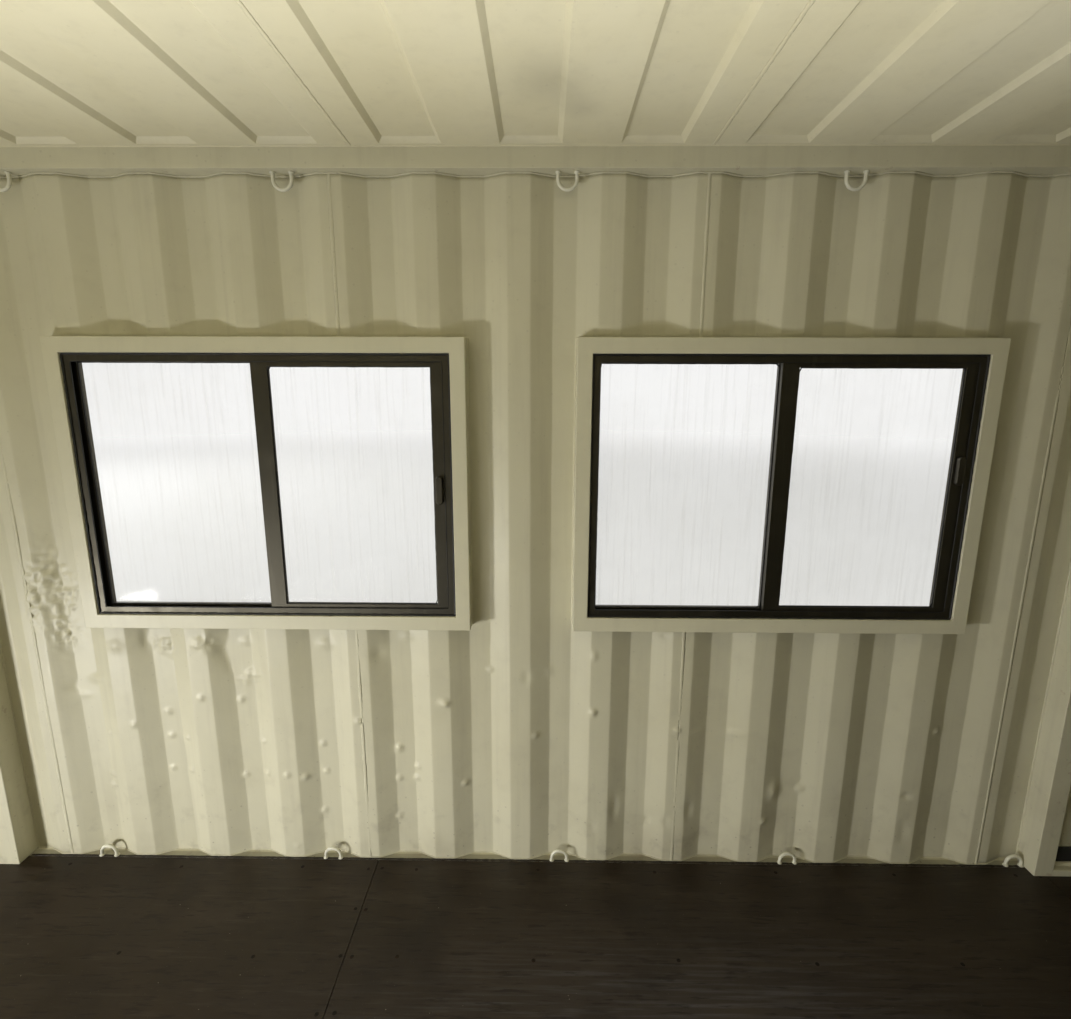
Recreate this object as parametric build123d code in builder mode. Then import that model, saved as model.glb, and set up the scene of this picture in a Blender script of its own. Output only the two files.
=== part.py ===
from build123d import *
import os

os.makedirs("parts", exist_ok=True)

# Shipping container cabin: a 20 ft steel box with two sliding windows between two doorways.
# X runs along the length, +Y is the window side, Z is up from the ground.

# Overall box
container_length = 6058.0
container_width = 2438.0
container_height = 2591.0
face_setback = 6.0

# Corner castings
casting_length = 178.0
casting_width = 162.0
casting_height = 118.0
casting_wall = 22.0
casting_lock_length = 124.0
casting_lock_width = 63.5
casting_lock_inset_x = 102.5
casting_lock_inset_y = 89.5
casting_side_length = 79.0

# Pressed corner posts
post_thickness = 6.0
post_end_leg = 90.0
post_return = 40.0

# Base frame
floor_height = 172.0
base_clearance = 17.0
rail_thickness = 4.5
bottom_rail_top_flange = 40.0
bottom_rail_bottom_flange = 30.0
cross_member_height = 122.0
cross_member_flange = 45.0
cross_member_thickness = 4.0
cross_member_count = 17
sill_depth = 60.0
fork_pocket_width = 360.0
fork_pocket_height = 115.0
fork_pocket_spacing = 2050.0
fork_pocket_plate = 6.0
fork_strap_height = 8.0

# Floor of plywood sheets
floor_thickness = 28.0
floor_sheet_length = 2400.0
floor_joint_x = -521.0
floor_joint_gap = 2.0
floor_rail_width = 12.0

# Side walls of corrugated sheet
wall_thickness = 2.0
wall_pitch = 278.0
wall_inner_flat = 70.0
wall_outer_flat = 71.0
wall_depth = 28.0
wall_sheet_pitches = 4
wall_cut_depth = 600.0

# Blind end wall
end_pitch = 250.0
end_inner_flat = 104.0
end_outer_flat = 110.0
end_depth = 45.0
end_thickness = 2.0

# Top rails and headers
top_rail_width = 60.0
top_rail_height = 58.0
top_rail_wall = 3.0
lintel_height = 33.0

# Roof of die-stamped sheets
roof_sheet_count = 5
roof_end_length = 446.5
roof_set_down = 40.0
roof_thickness = 2.0
roof_centre_x = 37.0
roof_lap = 45.0
roof_channel_pitch = 342.0
roof_channel_mouth = 177.0
roof_channel_crown = 150.0
roof_channel_depth = 14.0
roof_channel_end_margin = 75.0

# Windows
fitout_centre_x = 7.0
window_spacing = 1637.0
window_width = 1200.0
window_height = 850.0
window_sill_height = 957.0
surround_face = 48.0
surround_inside_stand = 30.0
surround_outside_stand = 2.0
frame_face = 26.0
frame_depth = 46.0
frame_recess = 10.0
track_depth = 18.0
track_wall = 2.5
sash_stile = 52.0
sash_rail = 30.0
sash_depth = 18.0
sash_clearance = 1.0
sash_roller_gap = 0.3
sash_overlap = 38.0
glass_thickness = 5.0
glass_bite = 10.0
latch_height = 90.0
latch_width = 22.0
latch_projection = 16.0
latch_rises = (0.0, 70.0)

# Doorways beside the windows
doorway_end_clear = 1202.0
doorway_clear_width = 850.0
doorway_head_clear = 199.0
door_post_width = 67.0
door_post_inside_stand = 50.0
door_sill_height = 25.0
door_leaf_thickness = 40.0
door_leaf_gap = 4.0
door_leaf_recess = 8.0
door_stop_width = 12.0
door_panel_margin = 130.0
door_panel_relief = 6.0
door_sweep_height = 58.0
door_sweep_thickness = 6.0
door_hinge_radius = 6.0
door_hinge_length = 110.0
door_handle_height = 1010.0
door_handle_reach = 125.0
door_handle_radius = 9.0
door_handle_stand = 45.0
door_plate_width = 42.0
door_plate_height = 210.0
door_plate_thickness = 5.0
door_outer_plate_thickness = 9.0

# Lashing rings
ring_pitches = 3
ring_offset_x = 4.0
ring_bar = 11.0
ring_width = 66.0
ring_upper_drop = 54.0
ring_lower_rise = 46.0
ring_setback = 4.0
ring_clearance = 3.0

# Cargo doors
cargo_gap = 9.0
cargo_middle_gap = 14.0
cargo_depth = 48.0
cargo_recess = 58.0
cargo_frame = 90.0
cargo_skin = 2.0
cargo_rib_count = 5
cargo_rib_depth = 30.0
cargo_rib_slope = 40.0
cargo_rib_flat = 190.0
gasket_thickness = 20.0
rod_radius = 17.0
rod_inset = 250.0
rod_inner_inset = 780.0
rod_standoff = 23.0
guide_height = 60.0
guide_width = 80.0
guide_clasp = 5.0
guide_shares = (0.05, 0.35, 0.65, 0.95)
cam_height = 24.0
cam_reach = 40.0
cam_width = 46.0
keeper_height = 44.0
keeper_thickness = 8.0
keeper_gap = 3.0
cargo_hinge_height = 190.0
cargo_hinge_width = 70.0
cargo_hinge_thickness = 12.0
cargo_hinge_shares = (0.08, 0.36, 0.64, 0.92)
handle_length = 470.0
handle_thickness = 12.0
handle_width = 32.0
handle_overlap = 40.0
handle_levels = (1130.0, 1300.0)

# Places worked out from the sizes above
end_face_x = container_length / 2 - face_setback
side_face_y = container_width / 2 - face_setback
frame_end_x = container_length / 2 - casting_length
frame_side_y = container_width / 2 - casting_width
post_bottom_z = casting_height
post_top_z = container_height - casting_height
wall_inner_y = side_face_y - wall_thickness - wall_depth
roof_z = container_height - roof_set_down
wall_head_z = roof_z - top_rail_height
wall_height = wall_head_z - floor_height
rail_inner_y = side_face_y - top_rail_width
end_opening_y = side_face_y - post_end_leg
header_bottom_z = post_top_z - lintel_height
floor_bottom_z = floor_height - floor_thickness
cross_bottom_z = floor_bottom_z - cross_member_height
floor_edge_y = side_face_y - bottom_rail_top_flange
floor_end_x = end_face_x - sill_depth
blind_inner_x = end_face_x - end_thickness - end_depth
window_bottom_z = floor_height + window_sill_height
surround_y = wall_inner_y - surround_inside_stand
surround_depth = side_face_y + surround_outside_stand - surround_y
surround_width = window_width + 2 * surround_face
surround_height = window_height + 2 * surround_face
window_centre_z = window_bottom_z + window_height / 2
window_centres = [fitout_centre_x + side * window_spacing / 2 for side in (-1, 1)]
door_frame_y = wall_inner_y - door_post_inside_stand
door_frame_depth = side_face_y + surround_outside_stand - door_frame_y
door_frame_width = doorway_clear_width + 2 * door_post_width
door_frame_height = wall_height - doorway_head_clear
doorway_clear_height = door_frame_height - door_sill_height - door_post_width
doorway_flank = container_length / 2 - doorway_end_clear
doorway_offset = doorway_flank + door_frame_width / 2
doorway_centres = [fitout_centre_x + side * doorway_offset for side in (-1, 1)]


def corrugation(start, stop, pitch, inner_flat, outer_flat, depth):
    """Points (along, outward) of a trapezoid corrugation with an inner flat centred on zero."""
    slope = (pitch - inner_flat - outer_flat) / 2
    bends = [inner_flat / 2, inner_flat / 2 + slope, pitch - inner_flat / 2 - slope, pitch - inner_flat / 2]
    heights = [0.0, depth, depth, 0.0]

    def outward(x):
        u = x % pitch
        knots = [-inner_flat / 2] + bends + [pitch + inner_flat / 2]
        levels = [0.0] + heights + [0.0]
        for i in range(len(knots) - 1):
            if knots[i] <= u <= knots[i + 1]:
                share = (u - knots[i]) / (knots[i + 1] - knots[i])
                return levels[i] + share * (levels[i + 1] - levels[i])

    first = int(start // pitch) - 1
    last = int(stop // pitch) + 1
    corners = [n * pitch + bend for n in range(first, last + 1) for bend in bends]
    stations = [start] + [x for x in corners if start < x < stop] + [stop]
    return [(x, outward(x)) for x in stations]


def sheet_outline(path, thickness):
    """Closed outline of a sheet whose inner side follows the path."""
    return path + [(x, y + thickness) for x, y in reversed(path)]


def finish(piece, name):
    """Label a finished sub-part and write it."""
    piece.part.label = name
    export_step(piece.part, f"parts/{name}.step")


# Corner castings: hollow steel blocks with a lock slot above or below and a slot in each outer face
for level, block_z, lock_z in (
    ("bottom", 0.0, 0.0),
    ("top", container_height - casting_height, container_height - casting_wall),
):
    with BuildPart() as castings:
        for side_x in (-1, 1):
            for side_y in (-1, 1):
                centre_x = side_x * (container_length - casting_length) / 2
                centre_y = side_y * (container_width - casting_width) / 2
                lock_x = side_x * (container_length / 2 - casting_lock_inset_x)
                lock_y = side_y * (container_width / 2 - casting_lock_inset_y)
                middle_z = block_z + casting_height / 2
                with Locations((centre_x, centre_y, middle_z)):
                    Box(casting_length, casting_width, casting_height)
                    Box(
                        casting_length - 2 * casting_wall,
                        casting_width - 2 * casting_wall,
                        casting_height - 2 * casting_wall,
                        mode=Mode.SUBTRACT,
                    )
                with BuildSketch(Plane.XY.offset(lock_z)):
                    with Locations((lock_x, lock_y)):
                        SlotOverall(casting_lock_length, casting_lock_width)
                extrude(amount=casting_wall, mode=Mode.SUBTRACT)
                with BuildSketch(Plane.XZ.offset(-side_y * container_width / 2)):
                    with Locations((lock_x, middle_z)):
                        SlotOverall(casting_side_length, casting_lock_width)
                extrude(amount=side_y * casting_wall, mode=Mode.SUBTRACT)
                with BuildSketch(Plane.YZ.offset(side_x * container_length / 2)):
                    with Locations((lock_y, middle_z)):
                        SlotOverall(casting_side_length, casting_lock_width)
                extrude(amount=-side_x * casting_wall, mode=Mode.SUBTRACT)
    finish(castings, f"{level}_corner_castings")

# Corner posts: pressed lipped angles between the castings
for end_name, side_x in (("door_end", -1), ("blind_end", 1)):
    with BuildPart() as posts:
        with BuildSketch(Plane.XY.offset(post_bottom_z)):
            for side_y in (-1, 1):
                x_out = side_x * end_face_x
                x_in = side_x * frame_end_x
                y_out = side_y * side_face_y
                y_in = side_y * end_opening_y
                y_lip = side_y * (side_face_y - post_return)
                x_lip = side_x * (end_face_x - post_return)
                t_x = side_x * post_thickness
                t_y = side_y * post_thickness
                with BuildLine():
                    Polyline(
                        (x_in, y_lip),
                        (x_in, y_out),
                        (x_out, y_out),
                        (x_out, y_in),
                        (x_lip, y_in),
                        (x_lip, y_in + t_y),
                        (x_out - t_x, y_in + t_y),
                        (x_out - t_x, y_out - t_y),
                        (x_in + t_x, y_out - t_y),
                        (x_in + t_x, y_lip),
                        close=True,
                    )
                make_face()
        extrude(amount=post_top_z - post_bottom_z)
    finish(posts, f"{end_name}_corner_posts")

# Bottom side rails: folded channels with the openings of the fork pockets
with BuildPart() as bottom_rails:
    for side_y in (-1, 1):
        y_out = side_y * side_face_y
        y_web = side_y * (side_face_y - rail_thickness)
        y_top = side_y * floor_edge_y
        y_low = side_y * (side_face_y - bottom_rail_bottom_flange)
        with BuildSketch(Plane.YZ.offset(-frame_end_x)):
            with BuildLine():
                Polyline(
                    (y_top, floor_height),
                    (y_out, floor_height),
                    (y_out, base_clearance),
                    (y_low, base_clearance),
                    (y_low, base_clearance + rail_thickness),
                    (y_web, base_clearance + rail_thickness),
                    (y_web, floor_height - rail_thickness),
                    (y_top, floor_height - rail_thickness),
                    close=True,
                )
            make_face()
        extrude(amount=2 * frame_end_x)
    with Locations(
        (-fork_pocket_spacing / 2, 0, base_clearance + fork_strap_height),
        (fork_pocket_spacing / 2, 0, base_clearance + fork_strap_height),
    ):
        Box(
            fork_pocket_width,
            container_width,
            fork_pocket_height,
            align=(Align.CENTER, Align.CENTER, Align.MIN),
            mode=Mode.SUBTRACT,
        )
finish(bottom_rails, "bottom_side_rails")

# Fork pockets: plate tunnels from rail to rail, set in the rails' openings
with BuildPart() as fork_pockets:
    with BuildSketch(Plane.XZ.offset(-(side_face_y - rail_thickness))):
        with Locations(
            (-fork_pocket_spacing / 2, base_clearance + fork_strap_height + fork_pocket_height / 2),
            (fork_pocket_spacing / 2, base_clearance + fork_strap_height + fork_pocket_height / 2),
        ):
            Rectangle(fork_pocket_width, fork_pocket_height)
            Rectangle(
                fork_pocket_width - 2 * fork_pocket_plate,
                fork_pocket_height - 2 * fork_pocket_plate,
                mode=Mode.SUBTRACT,
            )
    extrude(amount=2 * (side_face_y - rail_thickness))
finish(fork_pockets, "fork_pockets")

# Cross members: folded channels under the floor, left out where a fork pocket runs
cross_span = 2 * (frame_end_x - cross_member_flange)
cross_step = cross_span / (cross_member_count - 1)
cross_places = [-cross_span / 2 + n * cross_step for n in range(cross_member_count)]
pocket_reach = fork_pocket_width / 2 + cross_member_flange
cross_places = [
    x for x in cross_places if abs(abs(x) - fork_pocket_spacing / 2) > pocket_reach
]
with BuildPart() as cross_members:
    with BuildSketch(Plane.XZ.offset(-(side_face_y - rail_thickness))):
        for x in cross_places:
            x_open = x + cross_member_flange
            with BuildLine():
                Polyline(
                    (x, cross_bottom_z),
                    (x_open, cross_bottom_z),
                    (x_open, cross_bottom_z + cross_member_thickness),
                    (x + cross_member_thickness, cross_bottom_z + cross_member_thickness),
                    (x + cross_member_thickness, floor_bottom_z - cross_member_thickness),
                    (x_open, floor_bottom_z - cross_member_thickness),
                    (x_open, floor_bottom_z),
                    (x, floor_bottom_z),
                    close=True,
                )
            make_face()
    extrude(amount=2 * (side_face_y - rail_thickness))
finish(cross_members, "floor_cross_members")

# End sills: box members between the bottom castings
for end_name, side_x in (("door_end", -1), ("blind_end", 1)):
    with BuildPart() as sill:
        with BuildSketch(Plane.YZ.offset(side_x * end_face_x)):
            with Locations((0, (base_clearance + casting_height) / 2)):
                Rectangle(2 * frame_side_y, casting_height - base_clearance)
        extrude(amount=-side_x * sill_depth)
    finish(sill, f"{end_name}_sill")

# Threshold bars: members on the sills and castings that carry the ends up to the floor
with BuildPart() as thresholds:
    for side_x in (-1, 1):
        with BuildSketch(Plane.YZ.offset(side_x * end_face_x)):
            with Locations((0, (casting_height + floor_height) / 2)):
                Rectangle(2 * end_opening_y, floor_height - casting_height)
        extrude(amount=-side_x * sill_depth)
finish(thresholds, "threshold_bars")

# Headers: box members between the top castings
for end_name, side_x in (("door_end", -1), ("blind_end", 1)):
    with BuildPart() as header:
        with BuildSketch(Plane.YZ.offset(side_x * end_face_x)):
            with Locations((0, (post_top_z + roof_z) / 2)):
                Rectangle(2 * frame_side_y, roof_z - post_top_z)
        extrude(amount=-side_x * top_rail_width)
    finish(header, f"{end_name}_header")

# Lintel bars: members under the headers and castings that close the ends from post to post
with BuildPart() as lintels:
    for side_x in (-1, 1):
        with BuildSketch(Plane.YZ.offset(side_x * end_face_x)):
            with Locations((0, (header_bottom_z + post_top_z) / 2)):
                Rectangle(2 * end_opening_y, lintel_height)
        extrude(amount=-side_x * top_rail_width)
finish(lintels, "lintel_bars")

# Header extension plates: flat plates on the headers, between the castings
with BuildPart() as extension_plates:
    for side_x in (-1, 1):
        with BuildSketch(Plane.XY.offset(roof_z)):
            with Locations((side_x * (frame_end_x + end_face_x) / 2, 0)):
                Rectangle(end_face_x - frame_end_x, 2 * frame_side_y)
        extrude(amount=roof_thickness)
finish(extension_plates, "header_extension_plates")

# Roof end plates: flat plates from the last stamped sheet to the castings, welded on the rails
roof_sheet_length = (container_length - 2 * roof_end_length) / roof_sheet_count
roof_start_x = roof_centre_x - roof_sheet_count * roof_sheet_length / 2
roof_stop_x = roof_centre_x + roof_sheet_count * roof_sheet_length / 2
with BuildPart() as roof_ends:
    for start, stop in ((-frame_end_x, roof_start_x), (roof_stop_x, frame_end_x)):
        with BuildSketch(Plane.XY.offset(roof_z)):
            with Locations(((start + stop) / 2, 0)):
                Rectangle(stop - start, 2 * (rail_inner_y + roof_lap))
        extrude(amount=roof_thickness)
finish(roof_ends, "roof_end_plates")

# Top side rails: square tubes from casting to casting
with BuildPart() as top_rails:
    with BuildSketch(Plane.YZ.offset(-frame_end_x)):
        with Locations(
            (side_face_y - top_rail_width / 2, wall_head_z + top_rail_height / 2),
            (top_rail_width / 2 - side_face_y, wall_head_z + top_rail_height / 2),
        ):
            Rectangle(top_rail_width, top_rail_height)
            Rectangle(
                top_rail_width - 2 * top_rail_wall,
                top_rail_height - 2 * top_rail_wall,
                mode=Mode.SUBTRACT,
            )
    extrude(amount=2 * frame_end_x)
finish(top_rails, "top_side_rails")

# Floor: plywood sheets in two rows, with the joints of one row staggered from the other
with BuildPart() as floor_sheets:
    row_width = floor_edge_y - floor_joint_gap - floor_rail_width / 2
    for side_y in (-1, 1):
        joints = [side_y * floor_joint_x, side_y * (floor_joint_x + floor_sheet_length)]
        ends = sorted([-floor_end_x] + joints + [floor_end_x])
        for start, stop in zip(ends, ends[1:]):
            sheet_length = stop - start - floor_joint_gap
            row_y = side_y * (floor_rail_width / 2 + floor_joint_gap / 2 + row_width / 2)
            with Locations(((start + stop) / 2, row_y, floor_bottom_z)):
                Box(
                    sheet_length,
                    row_width,
                    floor_thickness,
                    align=(Align.CENTER, Align.CENTER, Align.MIN),
                )
finish(floor_sheets, "floor_sheets")

# Floor centre rail: a flat steel bar between the two rows of sheets
with BuildPart() as floor_rail:
    with Locations((0, 0, floor_bottom_z)):
        Box(
            2 * floor_end_x,
            floor_rail_width,
            floor_thickness,
            align=(Align.CENTER, Align.CENTER, Align.MIN),
        )
finish(floor_rail, "floor_centre_rail")

# Window side wall: corrugated sheets butt welded on inner flats, cut out for windows and doorways
half_sheet = wall_pitch * wall_sheet_pitches / 2
full_sheet = 2 * half_sheet
wall_joints = [-frame_end_x, -half_sheet - full_sheet, -half_sheet]
wall_joints = wall_joints + [-x for x in reversed(wall_joints)]
panel_names = ["left_end", "left", "centre", "right", "right_end"]
for name, start, stop in zip(panel_names, wall_joints, wall_joints[1:]):
    path = corrugation(start, stop, wall_pitch, wall_inner_flat, wall_outer_flat, wall_depth)
    with BuildPart() as panel:
        with BuildSketch(Plane.XY.offset(floor_height)):
            with BuildLine():
                Polyline(
                    *[(x, wall_inner_y + y) for x, y in sheet_outline(path, wall_thickness)],
                    close=True,
                )
            make_face()
        extrude(amount=wall_height)
        with Locations(*[(x, wall_inner_y, window_centre_z) for x in window_centres]):
            Box(surround_width, wall_cut_depth, surround_height, mode=Mode.SUBTRACT)
        with Locations(*[(x, wall_inner_y, floor_height) for x in doorway_centres]):
            Box(
                door_frame_width,
                wall_cut_depth,
                door_frame_height,
                align=(Align.CENTER, Align.CENTER, Align.MIN),
                mode=Mode.SUBTRACT,
            )
    finish(panel, f"window_wall_{name}_panel")

# Plain side wall opposite the windows
plain_path = corrugation(
    -frame_end_x, frame_end_x, wall_pitch, wall_inner_flat, wall_outer_flat, wall_depth
)
with BuildPart() as plain_wall:
    with BuildSketch(Plane.XY.offset(floor_height)):
        with BuildLine():
            Polyline(
                *[(x, -wall_inner_y - y) for x, y in sheet_outline(plain_path, wall_thickness)],
                close=True,
            )
        make_face()
    extrude(amount=wall_height)
finish(plain_wall, "plain_side_wall")

# Blind end wall with deeper corrugations
end_path = corrugation(
    -end_opening_y, end_opening_y, end_pitch, end_inner_flat, end_outer_flat, end_depth
)
with BuildPart() as end_wall:
    with BuildSketch(Plane.XY.offset(floor_height)):
        with BuildLine():
            Polyline(
                *[(blind_inner_x + x, y) for y, x in sheet_outline(end_path, end_thickness)],
                close=True,
            )
        make_face()
    extrude(amount=header_bottom_z - floor_height)
finish(end_wall, "blind_end_wall")

# Roof sheets: flat plates with three stamped channels that stop short of the rails
channel_end_y = rail_inner_y - roof_channel_end_margin
channel_slope = (roof_channel_mouth - roof_channel_crown) / 2
for index in range(roof_sheet_count):
    sheet_x = roof_start_x + (index + 0.5) * roof_sheet_length
    channel_places = [(sheet_x + n * roof_channel_pitch, 0) for n in (-1, 0, 1)]
    with BuildPart() as roof_sheet:
        with BuildSketch(Plane.XY.offset(roof_z)):
            with Locations((sheet_x, 0)):
                Rectangle(roof_sheet_length, 2 * (rail_inner_y + roof_lap))
        extrude(amount=roof_thickness)
        for level, grow, mode in (
            (roof_z + roof_thickness, roof_thickness, Mode.ADD),
            (roof_z, 0.0, Mode.SUBTRACT),
        ):
            for place in channel_places:
                with BuildSketch(Plane.XY.offset(level)):
                    with Locations(place):
                        Rectangle(roof_channel_mouth + 2 * grow, 2 * (channel_end_y + grow))
                with BuildSketch(Plane.XY.offset(level + roof_channel_depth)):
                    with Locations(place):
                        Rectangle(
                            roof_channel_crown + 2 * grow,
                            2 * (channel_end_y - channel_slope + grow),
                        )
                loft(mode=mode)
    finish(roof_sheet, f"roof_sheet_{index + 1}")

# Window surrounds: welded box-section frames through the wall
with BuildPart() as surrounds:
    with BuildSketch(Plane.XZ.offset(-surround_y)):
        with Locations(*[(x, window_centre_z) for x in window_centres]):
            Rectangle(surround_width, surround_height)
            Rectangle(window_width, window_height, mode=Mode.SUBTRACT)
    extrude(amount=-surround_depth)
finish(surrounds, "window_surrounds")

# Window frames: aluminium rings with an inner and an outer track and a fixed middle stile
frame_y = surround_y + frame_recess
pane_width = window_width - 2 * frame_face
pane_height = window_height - 2 * frame_face
inner_track_y = frame_y + track_wall
outer_track_y = inner_track_y + sash_depth + 2 * sash_clearance + track_wall
fixed_edge = sash_overlap / 2
with BuildPart() as window_frames:
    with BuildSketch(Plane.XZ.offset(-frame_y)):
        with Locations(*[(x, window_centre_z) for x in window_centres]):
            Rectangle(window_width, window_height)
            Rectangle(pane_width, pane_height, mode=Mode.SUBTRACT)
    extrude(amount=-frame_depth)
    with BuildSketch(Plane.XZ.offset(-inner_track_y)):
        with Locations(*[(x, window_centre_z) for x in window_centres]):
            Rectangle(pane_width + 2 * track_depth, pane_height + 2 * track_depth)
    extrude(amount=-(sash_depth + 2 * sash_clearance), mode=Mode.SUBTRACT)
    with BuildSketch(Plane.XZ.offset(-outer_track_y)):
        with Locations(*[(x, window_centre_z) for x in window_centres]):
            Rectangle(sash_overlap, pane_height)
    extrude(amount=-(frame_y + frame_depth - outer_track_y))
    with BuildSketch(Plane.XZ.offset(-(outer_track_y + track_wall))):
        with Locations(
            *[
                (x - (pane_width + glass_bite) / 4 - glass_bite / 2, window_centre_z)
                for x in window_centres
            ]
        ):
            Rectangle(pane_width / 2 + glass_bite, pane_height + 2 * glass_bite)
    extrude(amount=-glass_thickness, mode=Mode.SUBTRACT)
finish(window_frames, "window_frames")

# Fixed panes: glass sheets glazed straight into the outer track
with BuildPart() as fixed_glass:
    with BuildSketch(Plane.XZ.offset(-(outer_track_y + track_wall))):
        with Locations(
            *[
                (x - (pane_width + glass_bite) / 4 - glass_bite / 2, window_centre_z)
                for x in window_centres
            ]
        ):
            Rectangle(pane_width / 2 + glass_bite, pane_height + 2 * glass_bite)
    extrude(amount=-glass_thickness)
finish(fixed_glass, "fixed_window_glass")

# Sliding sashes: aluminium rings in the inner track, overlapping the middle stile
sash_width = pane_width / 2 + fixed_edge + track_depth - sash_clearance
sash_height = pane_height + 2 * track_depth - sash_clearance - sash_roller_gap
sash_y = inner_track_y + sash_clearance
sash_offset = pane_width / 2 + track_depth - sash_clearance - sash_width / 2
sash_glass_width = sash_width - 2 * sash_stile
sash_glass_height = sash_height - 2 * sash_rail
sash_glass_y = sash_y + (sash_depth - glass_thickness) / 2
sash_centre_z = window_centre_z - (sash_clearance - sash_roller_gap) / 2
sash_centres = [(x + sash_offset, sash_centre_z) for x in window_centres]
with BuildPart() as sashes:
    with BuildSketch(Plane.XZ.offset(-sash_y)):
        with Locations(*sash_centres):
            Rectangle(sash_width, sash_height)
            Rectangle(sash_glass_width, sash_glass_height, mode=Mode.SUBTRACT)
    extrude(amount=-sash_depth)
    with BuildSketch(Plane.XZ.offset(-sash_glass_y)):
        with Locations(*sash_centres):
            Rectangle(sash_glass_width + 2 * glass_bite, sash_glass_height + 2 * glass_bite)
    extrude(amount=-glass_thickness, mode=Mode.SUBTRACT)
finish(sashes, "sliding_sashes")

# Sliding panes: glass sheets held in the sashes
with BuildPart() as sliding_glass:
    with BuildSketch(Plane.XZ.offset(-sash_glass_y)):
        with Locations(*sash_centres):
            Rectangle(sash_glass_width + 2 * glass_bite, sash_glass_height + 2 * glass_bite)
    extrude(amount=-glass_thickness)
finish(sliding_glass, "sliding_window_glass")

# Latches on the closing stiles of the sliding sashes
latch_x = pane_width / 2 - (sash_stile - track_depth) / 2
with BuildPart() as latches:
    with BuildSketch(Plane.XZ.offset(-sash_y)):
        with Locations(
            *[
                (x + latch_x, window_centre_z + rise)
                for x, rise in zip(window_centres, latch_rises)
            ]
        ):
            SlotOverall(latch_height, latch_width, rotation=90)
    extrude(amount=latch_projection)
finish(latches, "window_latches")

# Doorway frames: welded box-section posts, head and sill through the wall
leaf_y = side_face_y + surround_outside_stand - door_leaf_recess - door_leaf_thickness
with BuildPart() as door_frames:
    with BuildSketch(Plane.XZ.offset(-door_frame_y)):
        with Locations(*[(x, floor_height + door_frame_height / 2) for x in doorway_centres]):
            Rectangle(door_frame_width, door_frame_height)
        with Locations(
            *[
                (x, floor_height + door_sill_height + doorway_clear_height / 2)
                for x in doorway_centres
            ]
        ):
            Rectangle(doorway_clear_width, doorway_clear_height, mode=Mode.SUBTRACT)
    extrude(amount=-door_frame_depth)
    with BuildSketch(Plane.XZ.offset(-(leaf_y - door_stop_width))):
        with Locations(
            *[
                (x, floor_height + door_sill_height + doorway_clear_height / 2)
                for x in doorway_centres
            ]
        ):
            Rectangle(doorway_clear_width, doorway_clear_height)
            Rectangle(
                doorway_clear_width - 2 * door_stop_width,
                doorway_clear_height - 2 * door_stop_width,
                mode=Mode.SUBTRACT,
            )
    extrude(amount=-door_stop_width)
finish(door_frames, "doorway_frames")

# Door leaves: flush steel leaves with a shallow pressed field, shut against the stops
leaf_width = doorway_clear_width - 2 * door_leaf_gap
leaf_height = doorway_clear_height - 2 * door_leaf_gap
leaf_centre_z = floor_height + door_sill_height + doorway_clear_height / 2
with BuildPart() as door_leaves:
    with BuildSketch(Plane.XZ.offset(-leaf_y)):
        with Locations(*[(x, leaf_centre_z) for x in doorway_centres]):
            Rectangle(leaf_width, leaf_height)
    extrude(amount=-door_leaf_thickness)
    with BuildSketch(Plane.XZ.offset(-(leaf_y + door_leaf_thickness))):
        with Locations(*[(x, leaf_centre_z) for x in doorway_centres]):
            Rectangle(leaf_width - 2 * door_panel_margin, leaf_height - 2 * door_panel_margin)
    extrude(amount=door_panel_relief, mode=Mode.SUBTRACT)
finish(door_leaves, "door_leaves")

# Door sweeps: rubber strips along the foot of each leaf's inner face, between the stops
with BuildPart() as door_sweeps:
    with BuildSketch(Plane.XZ.offset(-leaf_y)):
        with Locations(
            *[
                (x, floor_height + door_sill_height + door_stop_width + door_sweep_height / 2)
                for x in doorway_centres
            ]
        ):
            Rectangle(doorway_clear_width - 2 * door_stop_width, door_sweep_height)
    extrude(amount=door_sweep_thickness)
finish(door_sweeps, "door_sweeps")

# Door hinges: three knuckles on each leaf's outer face, on the side away from the windows
leaf_outer_y = leaf_y + door_leaf_thickness
hinge_reach = leaf_height / 2 - 2 * door_hinge_length
with BuildPart() as door_hinges:
    for side, centre in zip((-1, 1), doorway_centres):
        hinge_x = centre + side * (doorway_clear_width / 2 - door_hinge_radius)
        for share in (-1, 0, 1):
            with BuildSketch(
                Plane.XY.offset(leaf_centre_z + share * hinge_reach - door_hinge_length / 2)
            ):
                with Locations((hinge_x, leaf_outer_y + door_hinge_radius)):
                    Circle(door_hinge_radius)
            extrude(amount=door_hinge_length)
finish(door_hinges, "door_hinges")

# Door furniture: a lever on a plate inside each leaf and a flush lock plate outside
with BuildPart() as door_handles:
    handle_z = floor_height + door_handle_height
    for side, centre in zip((-1, 1), doorway_centres):
        lever_x = centre - side * (leaf_width / 2 - door_plate_width)
        for face_y, plate in (
            (leaf_y, door_plate_thickness),
            (leaf_outer_y, -door_outer_plate_thickness),
        ):
            with BuildSketch(Plane.XZ.offset(-face_y)):
                with Locations((lever_x, handle_z)):
                    SlotOverall(door_plate_height, door_plate_width, rotation=90)
            extrude(amount=plate)
        neck_y = leaf_y - door_plate_thickness
        with BuildSketch(Plane.XZ.offset(-neck_y)):
            with Locations((lever_x, handle_z)):
                Circle(door_handle_radius)
        extrude(amount=door_handle_stand)
        with BuildSketch(Plane.YZ.offset(lever_x - side * door_handle_radius)):
            with Locations((neck_y - door_handle_stand + door_handle_radius, handle_z)):
                Circle(door_handle_radius)
        extrude(amount=side * door_handle_reach)
finish(door_handles, "door_handles")

# Lashing rings: round bars bent to a staple, one in every third recess of each wall
ring_bend = ring_width / 2 - ring_bar / 2


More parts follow.
